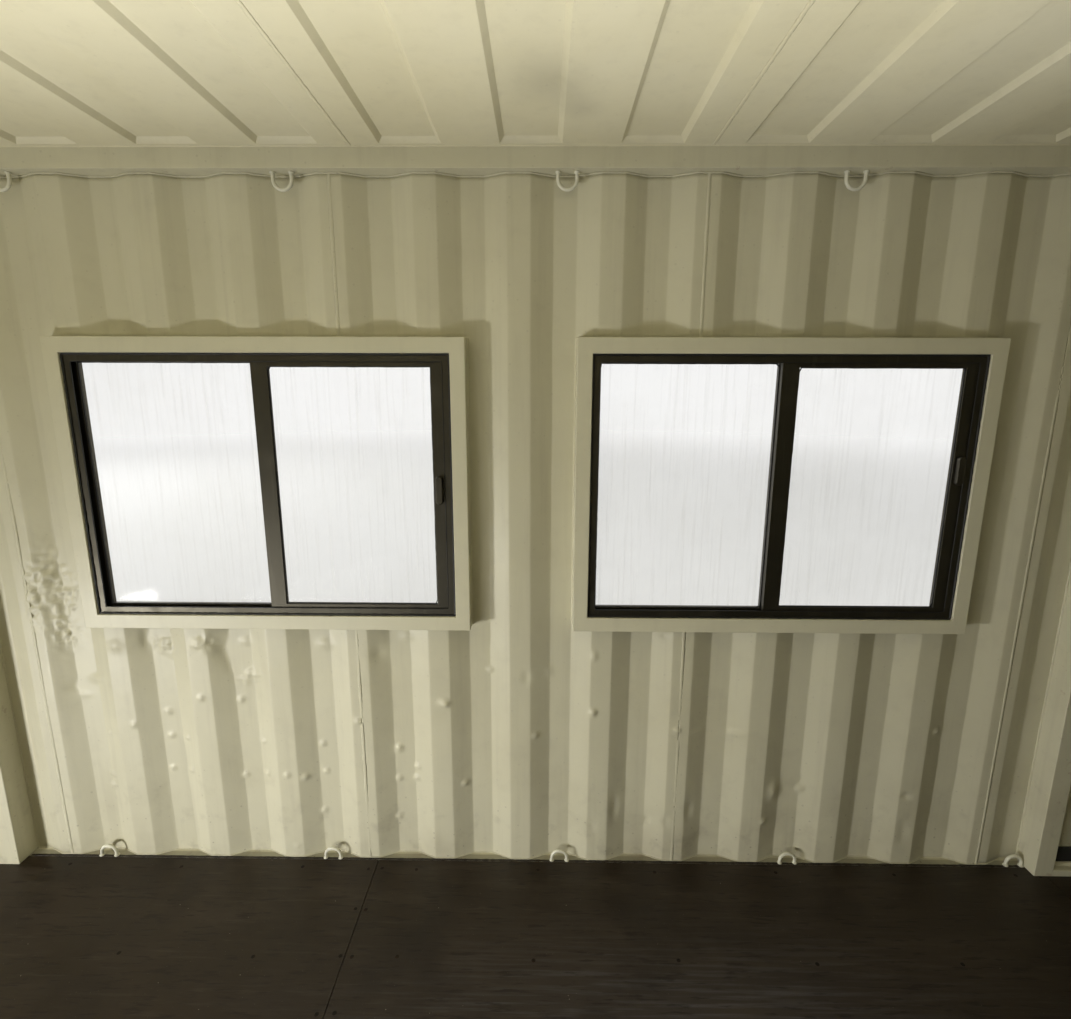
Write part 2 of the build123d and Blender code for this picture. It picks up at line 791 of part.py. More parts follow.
def ring_path(x, y, root_z, tip_z):
    """Two legs from the root joined by a half circle whose crown reaches the tip."""
    sign = 1 if tip_z > root_z else -1
    bend_z = tip_z - sign * (ring_bend + ring_bar / 2)
    Line((x - ring_bend, y, root_z), (x - ring_bend, y, bend_z))
    ThreePointArc(
        (x - ring_bend, y, bend_z),
        (x, y, bend_z + sign * ring_bend),
        (x + ring_bend, y, bend_z),
    )
    Line((x + ring_bend, y, bend_z), (x + ring_bend, y, root_z))


ring_step = ring_pitches * wall_pitch
ring_limit = frame_end_x - wall_pitch
ring_first = int(ring_limit // ring_step) + 1
all_rings = [wall_pitch / 2 + ring_offset_x + n * ring_step for n in range(-ring_first, ring_first)]
plain_rings = [x for x in all_rings if abs(x) < ring_limit]
clear_left = fitout_centre_x - doorway_flank + ring_width / 2 + ring_clearance
clear_right = fitout_centre_x + doorway_flank - ring_width / 2 - ring_clearance
window_rings = [max(clear_left, min(x, clear_right)) for x in all_rings if abs(x) < doorway_flank]
for wall_name, side_y, places in (("window_wall", 1, window_rings), ("plain_wall", -1, plain_rings)):
    ring_y = side_y * (wall_inner_y - ring_setback)
    for level, root_z, tip_z in (
        ("upper", wall_head_z, wall_head_z - ring_upper_drop),
        ("lower", floor_height, floor_height + ring_lower_rise),
    ):
        with BuildPart() as rings:
            for x in places:
                with BuildLine() as bar:
                    ring_path(x, ring_y, root_z, tip_z)
                with BuildSketch(Plane(origin=bar.line @ 0, z_dir=bar.line % 0)):
                    Circle(ring_bar / 2)
                sweep(path=bar.line)
        finish(rings, f"{wall_name}_{level}_rings")

# Cargo doors: two leaves, each a box-section frame round a ribbed skin, shut against the gasket
cargo_outer_x = -(container_length / 2 - cargo_recess)
cargo_bottom_z = floor_height + cargo_gap
cargo_top_z = header_bottom_z - cargo_gap
cargo_width = end_opening_y - cargo_gap - cargo_middle_gap / 2
rib_zone = cargo_top_z - cargo_bottom_z - 2 * cargo_frame
rib_pitch = rib_zone / cargo_rib_count
skin_x = cargo_outer_x + cargo_rib_depth
for leaf_name, side_y in (("left", 1), ("right", -1)):
    leaf_mid_y = side_y * (cargo_middle_gap / 2 + cargo_width / 2)
    rib_points = [(0.0, cargo_bottom_z + cargo_frame)]
    for n in range(cargo_rib_count):
        rib_mid = cargo_bottom_z + cargo_frame + (n + 0.5) * rib_pitch
        half_flat = cargo_rib_flat / 2
        rib_points += [
            (0.0, rib_mid - half_flat - cargo_rib_slope),
            (-cargo_rib_depth, rib_mid - half_flat),
            (-cargo_rib_depth, rib_mid + half_flat),
            (0.0, rib_mid + half_flat + cargo_rib_slope),
        ]
    rib_points.append((0.0, cargo_top_z - cargo_frame))
    with BuildPart() as cargo_leaf:
        with BuildSketch(Plane.YZ.offset(cargo_outer_x)):
            with Locations((leaf_mid_y, (cargo_bottom_z + cargo_top_z) / 2)):
                Rectangle(cargo_width, cargo_top_z - cargo_bottom_z)
                Rectangle(cargo_width - 2 * cargo_frame, rib_zone, mode=Mode.SUBTRACT)
        extrude(amount=cargo_depth)
        with BuildSketch(Plane.XZ.offset(-(leaf_mid_y + cargo_width / 2 - cargo_frame))):
            with BuildLine():
                Polyline(
                    *[(skin_x + x, z) for x, z in rib_points],
                    *[(skin_x + x + cargo_skin, z) for x, z in reversed(rib_points)],
                    close=True,
                )
            make_face()
        extrude(amount=cargo_width - 2 * cargo_frame)
    finish(cargo_leaf, f"{leaf_name}_cargo_door")

# Cargo door gasket: rubber seals round the opening and between the leaves
with BuildPart() as gasket:
    with BuildSketch(Plane.YZ.offset(cargo_outer_x + cargo_depth / 2 - gasket_thickness / 2)):
        with Locations((0, (floor_height + header_bottom_z) / 2)):
            Rectangle(2 * end_opening_y, header_bottom_z - floor_height)
        for side_y in (-1, 1):
            with Locations(
                (
                    side_y * (cargo_middle_gap / 2 + cargo_width / 2),
                    (cargo_bottom_z + cargo_top_z) / 2,
                )
            ):
                Rectangle(cargo_width, cargo_top_z - cargo_bottom_z, mode=Mode.SUBTRACT)
    extrude(amount=gasket_thickness)
finish(gasket, "cargo_door_gasket")

# Lock rods: two upright tubes on each leaf, held in guides and ending in cams at sill and header
rod_x = cargo_outer_x - rod_standoff
rod_places = [
    side_y * (end_opening_y - inset) for side_y in (-1, 1) for inset in (rod_inset, rod_inner_inset)
]
with BuildPart() as rods:
    for y in rod_places:
        with BuildSketch(Plane.XY.offset(floor_height)):
            with Locations((rod_x, y)):
                Circle(rod_radius)
        extrude(amount=header_bottom_z - floor_height)
        for cam_z in (floor_height, header_bottom_z - cam_height):
            with BuildSketch(Plane.XY.offset(cam_z)):
                with Locations((rod_x, y)):
                    Rectangle(cam_reach, cam_width)
            extrude(amount=cam_height)
finish(rods, "cargo_lock_rods")

# Cam keepers: pairs of upright lugs that the cams turn in behind, on the thresholds and lintels
with BuildPart() as keepers:
    for y in rod_places:
        for side_y in (-1, 1):
            lug_y = y + side_y * (cam_width / 2 + keeper_gap + keeper_thickness / 2)
            for keeper_z in (floor_height, header_bottom_z - keeper_height):
                with BuildSketch(Plane.XY.offset(keeper_z)):
                    with Locations((rod_x, lug_y)):
                        Rectangle(cam_reach, keeper_thickness)
                extrude(amount=keeper_height)
finish(keepers, "cam_keepers")

# Rod guides: brackets that clasp the rods against the leaves at four heights
guide_levels = [
    cargo_bottom_z + share * (cargo_top_z - cargo_bottom_z) for share in guide_shares
]
guide_reach = rod_standoff + rod_radius + guide_clasp
with BuildPart() as guides:
    for y in rod_places:
        for level in guide_levels:
            with BuildSketch(Plane.XY.offset(level - guide_height / 2)):
                with Locations((cargo_outer_x - guide_reach / 2, y)):
                    Rectangle(guide_reach, guide_width)
                with Locations((rod_x, y)):
                    Circle(rod_radius, mode=Mode.SUBTRACT)
            extrude(amount=guide_height)
finish(guides, "cargo_rod_guides")

# Cargo door hinges: blades on the outer stiles, butted to the posts
cargo_hinge_levels = [
    cargo_bottom_z + share * (cargo_top_z - cargo_bottom_z) for share in cargo_hinge_shares
]
with BuildPart() as cargo_hinges:
    for side_y in (-1, 1):
        for level in cargo_hinge_levels:
            blade_y = side_y * (end_opening_y - cargo_hinge_width / 2)
            with Locations((cargo_outer_x - cargo_hinge_thickness / 2, blade_y, level)):
                Box(cargo_hinge_thickness, cargo_hinge_width, cargo_hinge_height)
finish(cargo_hinges, "cargo_door_hinges")

# Lock handles: flat levers welded to the rods, folded across each leaf towards its other rod
handle_x = rod_x - rod_radius - handle_thickness / 2
with BuildPart() as lock_handles:
    for y in rod_places:
        outer_rod = abs(y) > end_opening_y / 2
        toward = -1 if (y > 0) == outer_rod else 1
        level = handle_levels[0] if outer_rod else handle_levels[1]
        lever_y = y + toward * (handle_length / 2 - handle_overlap)
        with Locations((handle_x, lever_y, level)):
            Box(handle_thickness, handle_length, handle_width)
finish(lock_handles, "cargo_lock_handles")
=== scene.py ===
import math
import bmesh
import bpy
from mathutils import Matrix, Vector


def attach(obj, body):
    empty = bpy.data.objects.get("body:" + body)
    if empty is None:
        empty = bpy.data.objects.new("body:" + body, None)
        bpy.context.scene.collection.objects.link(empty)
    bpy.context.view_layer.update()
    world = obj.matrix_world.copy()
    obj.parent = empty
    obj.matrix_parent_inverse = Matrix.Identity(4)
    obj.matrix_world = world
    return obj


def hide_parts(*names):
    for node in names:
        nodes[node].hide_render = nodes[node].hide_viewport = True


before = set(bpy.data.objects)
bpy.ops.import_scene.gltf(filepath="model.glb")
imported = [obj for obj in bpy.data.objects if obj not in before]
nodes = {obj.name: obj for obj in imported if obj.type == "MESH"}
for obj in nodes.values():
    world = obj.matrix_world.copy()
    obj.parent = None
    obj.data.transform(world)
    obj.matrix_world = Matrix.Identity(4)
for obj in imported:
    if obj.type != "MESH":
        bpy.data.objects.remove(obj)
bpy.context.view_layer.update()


# Corner castings: eight hollow blocks of cast steel with a lock slot in each outer face.
# They are sprayed with the shell, and the paint is chipped to rust in patches.
class Wire:
    """An output of a node; Python's operators on it add the Math nodes."""

    def __init__(self, tree, socket):
        self.tree, self.socket = tree, socket

    def math(self, operation, *others):
        values = {0: self}
        for place, other in enumerate(others, 1):
            values[place] = other
        return self.tree.node("ShaderNodeMath", {"operation": operation}, values)

    def __add__(self, other):
        return self.math("ADD", other)

    __radd__ = __add__

    def __sub__(self, other):
        return self.math("SUBTRACT", other)

    def __rsub__(self, other):
        return self.tree.node("ShaderNodeMath", {"operation": "SUBTRACT"}, {0: other, 1: self})

    def __mul__(self, other):
        return self.math("MULTIPLY", other)

    __rmul__ = __mul__

    def __truediv__(self, other):
        return self.math("DIVIDE", other)

    def __rtruediv__(self, other):
        return self.tree.node("ShaderNodeMath", {"operation": "DIVIDE"}, {0: other, 1: self})

    def __pow__(self, other):
        return self.math("POWER", other)

    def __gt__(self, other):
        return self.math("GREATER_THAN", other)

    def __lt__(self, other):
        return self.math("LESS_THAN", other)

    def __abs__(self):
        return self.math("ABSOLUTE")

    def clamped(self, low=0.0, high=1.0):
        return self.math("MAXIMUM", low).math("MINIMUM", high)


class Tree:
    """A node tree, of a material or of a modifier, that is written as expressions."""

    def __init__(self, tree):
        self.tree = tree

    def node(self, kind, settings=None, values=None, out=0):
        made = self.tree.nodes.new(kind)
        for key, value in (settings or {}).items():
            setattr(made, key, value)
        for key, value in (values or {}).items():
            socket = self.find(made.inputs, key)
            if isinstance(value, Wire):
                self.tree.links.new(value.socket, socket)
            elif isinstance(value, tuple) and len(value) == 3 and socket.type == "RGBA":
                socket.default_value = (*value, 1.0)
            else:
                socket.default_value = value
        return Wire(self, self.find(made.outputs, out) if made.outputs else None)

    def find(self, sockets, key):
        if isinstance(key, int):
            return sockets[key]
        return next(s for s in sockets if key in (s.identifier, s.name))

    def sibling(self, wire, key):
        return Wire(self, self.find(wire.socket.node.outputs, key))


def hump(across, along):
    """A smooth round hump: 1 where both wires are 0, and faint where either is past 1.5."""
    return ((across * across + along * along) * -1.0).math("EXPONENT")


class Finish(Tree):
    """A surface's material: patterns on object coordinates that end in one Principled shader."""

    def __init__(self, name):
        self.material = bpy.data.materials.new(name)
        self.material.use_nodes = True
        super().__init__(self.material.node_tree)
        self.tree.nodes.clear()
        self.place = self.node("ShaderNodeTexCoord", out="Object")
        split = self.node("ShaderNodeSeparateXYZ", None, {"Vector": self.place})
        self.x, self.y, self.z = (self.sibling(split, axis) for axis in "XYZ")

    def stretched(self, x, y, z):
        return self.node(
            "ShaderNodeVectorMath", {"operation": "MULTIPLY"}, {0: self.place, 1: (x, y, z)}
        )

    def noise(self, scale, detail, roughness=0.55, at=None):
        values = {"Vector": at or self.place, "Scale": scale, "Detail": detail, "Roughness": roughness}
        return self.node("ShaderNodeTexNoise", None, values)

    def patches(self, scale, low, high, detail=4.0, at=None):
        """A mask that rises from 0 to 1 where the noise passes from low to high."""
        return ((self.noise(scale, detail, 0.6, at) - low) / (high - low)).clamped()

    def spots(self, scale, size):
        """A mask of round specks, one in each cell, from nothing up to the given size."""
        cell = self.node(
            "ShaderNodeTexVoronoi", None, {"Vector": self.place, "Scale": scale}, "Distance"
        )
        tone = self.node(
            "ShaderNodeSeparateColor", None, {"Color": self.sibling(cell, "Color")}, "Red"
        )
        return ((size * tone - cell) / (0.3 * size)).clamped()

    def blend(self, share, one, other):
        return self.node(
            "ShaderNodeMix",
            {"data_type": "RGBA"},
            {"Factor_Float": share, "A_Color": one, "B_Color": other},
            "Result_Color",
        )

    def shade(self, colour, share):
        """The colour times a grey share."""
        grey = self.node("ShaderNodeCombineXYZ", None, {0: share, 1: share, 2: share})
        return self.node("ShaderNodeVectorMath", {"operation": "MULTIPLY"}, {0: colour, 1: grey})

    def bump(self, height, distance, strength):
        values = {"Height": height, "Distance": distance, "Strength": strength}
        return self.node("ShaderNodeBump", None, values)

    def surface(self, **values):
        shader = self.node(
            "ShaderNodeBsdfPrincipled", None, {k.replace("_", " "): v for k, v in values.items()}
        )
        self.node("ShaderNodeOutputMaterial", None, {"Surface": shader})
        return self.material


def shell_paint(name, tone, grime, chips=0.0, warm_light=0.0, ledge=0.0, blotches=()):
    """Satin off-white enamel over steel: soft tone drift, drips, grime low down, chips and specks.

    A ledge share paints shade on a rail where it stands out on the room's side of its wall.
    Blotches darken round places of the underside: x, y, reach and strength.
    """
    paint = Finish(name)
    drift = paint.noise(0.9, 4.0) * 0.10 + paint.noise(7.0, 3.0) * 0.06
    drips = paint.patches(9.0, 0.52, 0.78, at=paint.stretched(3.0, 3.0, 0.16))
    grime_from_z, grime_height = 0.17, 0.55
    foot = (1.0 - (paint.z - grime_from_z) / grime_height).clamped() ** 2.0
    smudges = paint.patches(2.6, 0.50, 0.74) * 0.5 + paint.patches(14.0, 0.56, 0.72) * 0.35
    soot = (smudges * (0.25 + foot * 1.2) + drips * 0.22) * grime
    specks = paint.spots(38.0, 0.16) * (0.35 + foot)
    # for the ceiling, the warm light share adds painted warm light to these patches
    warm = paint.patches(1.3, 0.35, 0.70) * (0.35 + warm_light)
    clean = paint.blend(warm, tone, (tone[0] * 0.99, tone[1] * 0.965, tone[2] * 0.86))
    # the ledge share paints shade on the rail's ledge, on the room's side of the wall
    ledge_back_y = 1.203
    wear_stains_and_shade = ((ledge_back_y - abs(paint.y)) / 0.004).clamped() * ledge
    faces = paint.node("ShaderNodeNewGeometry", out="Normal")
    underside = paint.node("ShaderNodeSeparateXYZ", None, {"Vector": faces}, "Z") < 0.0
    for x, y, reach, strength in blotches:
        spread = hump((paint.x - x) / reach, (paint.y - y) / reach)
        wear_stains_and_shade = wear_stains_and_shade + spread * strength * underside
    clean = paint.shade(clean, (1.04 - drift) * (1.0 - wear_stains_and_shade))
    dirty = paint.blend(soot.clamped(0.0, 0.7), clean, (0.20, 0.165, 0.12))
    marked = paint.blend((specks * 0.6 * grime).clamped(0.0, 0.8), dirty, (0.11, 0.075, 0.05))
    scale = paint.patches(26.0, 0.66, 0.70, 6.0) * chips
    rust = paint.blend(paint.patches(60.0, 0.4, 0.6), (0.16, 0.055, 0.025), (0.30, 0.12, 0.05))
    final = paint.blend(scale, marked, rust)
    gloss = 0.40 + paint.noise(5.0, 3.0) * 0.12 + soot * 0.25 + scale * 0.3
    peel = paint.noise(260.0, 2.0) * 0.20 + paint.noise(34.0, 3.0) * 0.8
    relief = paint.bump(peel - scale * 0.5, 0.0009, 0.55)
    return paint.surface(
        Base_Color=final, Roughness=gloss.clamped(0.2, 0.9), Specular_IOR_Level=0.45, Normal=relief
    )


def rounded(node, radius, material, folded=False):
    """A copy of a node's solid with its triangles merged and its edges rounded, in its place.

    The cut ends of a folded sheet keep their triangles, because one face can't follow the folds.
    """
    mesh = nodes[node].data.copy()
    work = bmesh.new()
    work.from_mesh(mesh)
    bmesh.ops.remove_doubles(work, verts=work.verts, dist=1e-5)
    inside = [
        edge
        for edge in work.edges
        if not (folded and any(abs(face.normal.z) > 0.9 for face in edge.link_faces))
    ]
    corners = [] if folded else work.verts
    bmesh.ops.dissolve_limit(work, angle_limit=math.radians(0.5), verts=corners, edges=inside)
    work.to_mesh(mesh)
    work.free()
    mesh.materials.clear()
    mesh.materials.append(material)
    piece = bpy.data.objects.new(f"{node}_rounded", mesh)
    bpy.context.scene.collection.objects.link(piece)
    if radius:
        edge = piece.modifiers.new("edge", "BEVEL")
        edge.width = radius
        edge.segments = 2
        edge.limit_method = "ANGLE"
        edge.angle_limit = math.radians(30)
        edge.harden_normals = True
    mesh.shade_smooth()
    mesh.set_sharp_from_angle(angle=math.radians(35))
    settled(piece)
    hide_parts(node)
    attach(piece, "root")
    return piece


def settled(piece):
    """Works the modifiers of a piece into its mesh, and returns the piece."""
    bpy.context.view_layer.update()
    seen = piece.evaluated_get(bpy.context.evaluated_depsgraph_get())
    mesh = bpy.data.meshes.new_from_object(seen)
    piece.modifiers.clear()
    piece.data = mesh
    return piece


enamel = (0.62, 0.595, 0.455)
casting_paint = shell_paint("casting_enamel", enamel, 0.9, chips=1.0)
for level in ("bottom", "top"):
    rounded(f"{level}_corner_castings", 0.004, casting_paint)

# Frame of the box: pressed corner posts, folded bottom rails, square top rails, box sills and
# headers, all of sheet steel, welded to the castings and painted with the walls.
frame_paint = shell_paint("frame_enamel", enamel, 0.6, chips=0.25)
# its ledge share is painted shade on the rail's ledge under the wall's recesses
rail_paint = shell_paint("bottom_rail_enamel_shaded_ledge", enamel, 0.7, chips=0.25, ledge=0.40)
for node, radius in (
    ("door_end_corner_posts", 0.003),
    ("blind_end_corner_posts", 0.003),
    ("top_side_rails", 0.003),
    ("door_end_sill", 0.003),
    ("blind_end_sill", 0.003),
    ("door_end_header", 0.003),
    ("blind_end_header", 0.003),
    ("threshold_bars", 0.003),
    ("lintel_bars", 0.003),
    ("header_extension_plates", 0.0006),
    ("roof_end_plates", 0.0006),
):
    rounded(node, radius, frame_paint)
rounded("bottom_side_rails", 0.0015, rail_paint)


# Underframe: cross members of folded channel and two fork pockets of plate, under the floor.
# They wear black bitumen paint that has dulled, with dust and rust coming through.
def bitumen():
    coat = Finish("underframe_bitumen")
    dust = coat.patches(5.0, 0.45, 0.70)
    rust = coat.patches(17.0, 0.60, 0.68, 6.0)
    tar = coat.blend(dust * 0.6, (0.018, 0.018, 0.018), (0.11, 0.095, 0.075))
    tone = coat.blend(rust, tar, (0.17, 0.065, 0.03))
    relief = coat.bump(coat.noise(90.0, 4.0) + rust * 0.5, 0.0012, 0.6)
    return coat.surface(Base_Color=tone, Roughness=0.55 + dust * 0.3, Normal=relief)


underframe = bitumen()
for node in ("floor_cross_members", "fork_pockets"):
    rounded(node, 0.001, underframe)


# Floor: dark brown film-faced plywood in two rows of sheets, one on each side of a flat bar.
# They are screwed down in rows over the cross members, and the film is scuffed and dusty.
def floor_film():
    film = Finish("dark_brown_floor_film")
    scuffs = film.patches(7.0, 0.50, 0.72, 5.0, at=film.stretched(0.35, 2.2, 1.0))
    scrapes = film.patches(26.0, 0.58, 0.70, 4.0, at=film.stretched(0.22, 2.6, 1.0))
    dust = film.patches(1.7, 0.40, 0.72)
    grit = film.spots(95.0, 0.09)
    crumbs = film.spots(31.0, 0.045)
    stains = film.patches(3.2, 0.50, 0.70, 5.0)
    ruts = film.patches(60.0, 0.56, 0.66, 3.0, at=film.stretched(0.20, 1.6, 1.0))
    # a painted bluish sheen in front of the right window, brightest along long pale scratches
    window_sheen = hump((film.x - 0.50) / 0.75, (film.y - 0.62) / 0.24)
    scored = film.patches(34.0, 0.47, 0.66, 4.0, at=film.stretched(0.10, 2.4, 1.0))
    brown = film.blend(dust * 0.55, (0.020, 0.0120, 0.0058), (0.044, 0.031, 0.020))
    brown = film.blend(window_sheen * (0.22 + scored * 0.60), brown, (0.100, 0.093, 0.108))
    wear_stains_and_shade = film.blend((scuffs * 0.35 + scrapes * 0.22).clamped(), brown, (0.075, 0.058, 0.045))
    wet = film.blend(stains * 0.55, wear_stains_and_shade, (0.009, 0.0055, 0.0035))
    rutted = film.blend(ruts * 0.55, wet, (0.005, 0.003, 0.002))
    tone = film.blend((grit * 0.35 + crumbs).clamped(), rutted, (0.30, 0.26, 0.21))
    mesh_press = film.noise(420.0, 2.0)
    height = mesh_press * 0.35 + film.noise(22.0, 4.0) * 0.6 + crumbs * 1.5 - ruts * 0.4
    relief = film.bump(height, 0.0009, 0.55)
    return film.surface(
        Base_Color=tone,
        Roughness=(0.36 + dust * 0.24 + scuffs * 0.18 + grit * 0.2).clamped(0.2, 0.9),
        Specular_IOR_Level=0.34,
        Normal=relief,
    )


rounded("floor_sheets", 0.0012, floor_film())
rounded("floor_centre_rail", 0.001, underframe)


class Recipe(Tree):
    """A modifier's tree: its named inputs are wires in size, and its result is one painted mesh."""

    def __init__(self, name, **inputs):
        self.group = bpy.data.node_groups.new(name, "GeometryNodeTree")
        super().__init__(self.group)
        self.keys = {}
        for label, kind in inputs.items():
            item = self.group.interface.new_socket(
                name=label, in_out="INPUT", socket_type=f"NodeSocket{kind}"
            )
            self.keys[label] = item.identifier
        self.group.interface.new_socket(
            name="Result", in_out="OUTPUT", socket_type="NodeSocketGeometry"
        )
        given = self.node("NodeGroupInput")
        self.size = {label: self.sibling(given, label) for label in inputs}

    def painted(self, geometry, material):
        return self.node(
            "GeometryNodeSetMaterial", None, {"Geometry": geometry, "Material": material}
        )

    def real(self, geometry):
        return self.node("GeometryNodeRealizeInstances", None, {"Geometry": geometry})

    def ends(self, geometry):
        self.node("NodeGroupOutput", None, {"Result": geometry})
        return self

    def drives(self, piece, **values):
        """Puts the tree on a piece, with its inputs set by their identifiers."""
        drive = piece.modifiers.new(self.group.name, "NODES")
        drive.node_group = self.group
        for label, value in values.items():
            drive[self.keys[label]] = value


def screw_recipe():
    """Sets a low countersunk head with a cross recess on each point, at an angle of its own."""
    tree = Recipe(
        "floor_screws",
        Spots="Geometry",
        Radius="Float",
        Rise="Float",
        Steel="Material",
        Recess="Material",
    )
    size = tree.size
    values = {
        "Vertices": 14,
        "Radius Top": size["Radius"] * 0.82,
        "Radius Bottom": size["Radius"],
        "Depth": size["Rise"],
    }
    head = tree.node("GeometryNodeMeshCone", None, values)
    parts = [tree.painted(head, size["Steel"])]
    for long_x, long_y in ((1.1, 0.26), (0.26, 1.1)):
        box = tree.node(
            "ShaderNodeCombineXYZ",
            None,
            {0: size["Radius"] * long_x, 1: size["Radius"] * long_y, 2: size["Rise"] * 0.2},
        )
        slot = tree.node("GeometryNodeMeshCube", None, {"Size": box})
        lift = tree.node("ShaderNodeCombineXYZ", None, {2: size["Rise"] * 0.96})
        slot = tree.node("GeometryNodeTransform", None, {"Geometry": slot, "Translation": lift})
        parts.append(tree.painted(slot, size["Recess"]))
    joined = tree.tree.nodes.new("GeometryNodeJoinGeometry")
    for part in parts:
        tree.tree.links.new(part.socket, joined.inputs[0])
    whole = Wire(tree, joined.outputs[0])
    turn = tree.node(
        "FunctionNodeRandomValue", {"data_type": "FLOAT"}, {"Max_001": 1.5, "Seed": 7}, "Value_001"
    )
    spin = tree.node("ShaderNodeCombineXYZ", None, {2: turn})
    values = {"Points": size["Spots"], "Instance": whole, "Rotation": spin}
    set_in = tree.node("GeometryNodeInstanceOnPoints", None, values)
    return tree.ends(tree.real(set_in))


def screw_steel(name, dark, rusty):
    """Blackened steel that rusts; a nearly black version colours the cross recess."""
    steel = Finish(name)
    tone = steel.blend(steel.patches(60.0, 0.45, 0.65), dark, rusty)
    return steel.surface(Base_Color=tone, Roughness=0.62, Specular_IOR_Level=0.25)


floor_top_z = 0.172
screw_lift = 0.0002
screw_rows_x = [
    -2.93, -2.50, -2.07, -1.645, -1.222, -0.794, -0.368,
    0.060, 0.488, 0.915, 1.343, 1.77, 2.20, 2.63, 2.93,
]
screw_lines_y = [1.135, 0.975, 0.815, 0.657, 0.497, 0.337, 0.177, 0.030]
# cross joints of the sheets in the row by the windows, and the screws' distance from a joint
sheet_joints_x = [-0.521, 1.879]
joint_margin = 0.0205
joint_rows_x = [joint + reach for joint in sheet_joints_x for reach in (-joint_margin, joint_margin)]
hand_sway = 0.006
spots = []
for side in (-1, 1):
    for line, y in enumerate(screw_lines_y):
        rows = screw_rows_x if line % 2 == 0 else []
        for x in rows + [side * joint for joint in joint_rows_x]:
            sway = hand_sway * math.sin(37.0 * x + 11.0 * y)
            spots.append((x + sway, side * (y + 0.5 * sway), floor_top_z + screw_lift))
screw_mesh = bpy.data.meshes.new("floor_screws")
screw_mesh.from_pydata(spots, [], [])
screws = bpy.data.objects.new("floor_screws", screw_mesh)
bpy.context.scene.collection.objects.link(screws)
screw_recipe().drives(
    screws,
    Radius=0.0062,
    Rise=0.0007,
    Steel=screw_steel("floor_screw_steel", (0.005, 0.004, 0.003), (0.022, 0.010, 0.005)),
    Recess=screw_steel("screw_recess_black", (0.003, 0.002, 0.002), (0.008, 0.006, 0.004)),
)
settled(screws)
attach(screws, "root")

# Window wall: five corrugated sheets of 2 mm steel, butt welded on inner flats and welded to
# the rails. Loads have dented the flats, most of all low down and beside the windows.
wall_pitch = 0.278
inner_flat = 0.070
outer_flat = 0.071
wall_depth = 0.028
wall_inner_y = 1.183
wall_slope = wall_pitch / 2 - (inner_flat + outer_flat) / 2
wall_foot_z = floor_top_z
wall_height = 2.321
wall_top_z = wall_foot_z + wall_height
wall_sheet = 0.002
bend_half = 0.0025
bend_softness = 0.0022
flat_columns = 9
dented_to_z = 1.42
# openings: centre x, centre z, width, height
window_openings = [(-0.8115, 1.554, 1.296, 0.946), (0.8255, 1.554, 1.296, 0.946)]
doorway_openings = [(-2.312, 1.233, 0.984, 2.122), (2.326, 1.233, 0.984, 2.122)]
dents = [
    # x, z, half width, half height, push (towards the room is negative)
    (-1.392, 1.005, 0.024, 0.020, -0.0065),
    (-1.302, 1.020, 0.012, 0.034, 0.006),
    (-1.238, 1.000, 0.028, 0.026, -0.007),
    (-1.210, 0.965, 0.020, 0.016, -0.004),
    (-1.099, 1.012, 0.024, 0.020, -0.006),
    (-1.030, 0.985, 0.026, 0.042, 0.009),
    (-1.010, 0.930, 0.018, 0.030, 0.005),
    (-0.952, 1.012, 0.022, 0.016, -0.005),
    (-0.941, 0.893, 0.024, 0.014, -0.0065),
    (-0.962, 0.860, 0.014, 0.012, -0.004),
    (-0.675, 1.005, 0.028, 0.018, -0.0065),
    (-0.489, 0.975, 0.022, 0.030, 0.005),
    (-0.390, 1.035, 0.022, 0.018, -0.006),
    (-0.266, 0.798, 0.018, 0.014, -0.0055),
    (-0.440, 0.598, 0.014, 0.016, -0.004),
    (-1.489, 0.869, 0.026, 0.016, -0.0085),
    (-1.565, 0.838, 0.034, 0.018, 0.006),
    (-1.550, 0.805, 0.020, 0.012, -0.004),
    (-1.521, 1.374, 0.014, 0.024, 0.008),
    (-1.592, 1.255, 0.022, 0.022, -0.007),
    (-1.646, 1.186, 0.014, 0.040, -0.005),
    (-1.490, 0.520, 0.026, 0.060, -0.003),
    (-0.116, 1.317, 0.020, 0.034, 0.004),
    (-0.104, 1.500, 0.022, 0.060, 0.003),
    (0.023, 0.897, 0.014, 0.022, 0.004),
    (0.102, 0.907, 0.012, 0.020, -0.003),
    (0.254, 0.979, 0.010, 0.014, -0.006),
    (0.255, 0.764, 0.009, 0.012, -0.006),
    (0.494, 1.051, 0.016, 0.010, 0.004),
    (0.761, 0.681, 0.030, 0.012, -0.005),
    (0.627, 0.689, 0.024, 0.010, -0.003),
    (0.913, 0.455, 0.020, 0.034, -0.009),
    (0.994, 0.493, 0.018, 0.018, 0.007),
    (1.010, 0.460, 0.012, 0.020, -0.006),
    (1.379, 0.450, 0.016, 0.012, 0.006),
    (0.340, 0.384, 0.016, 0.040, 0.005),
    (0.256, 0.317, 0.022, 0.028, 0.005),
    (0.465, 0.325, 0.010, 0.016, 0.005),
    (0.526, 0.335, 0.012, 0.024, 0.004),
    (0.609, 0.378, 0.014, 0.030, 0.005),
    (1.270, 0.310, 0.018, 0.050, 0.005),
    (1.387, 0.300, 0.016, 0.040, 0.004),
    (-0.302, 0.352, 0.020, 0.008, -0.004),
    (-0.823, 0.215, 0.010, 0.012, -0.005),
    (-1.245, 0.380, 0.016, 0.040, 0.003),
    (0.860, 2.300, 0.040, 0.060, 0.003),
    (-1.240, 2.230, 0.016, 0.040, -0.003),
]

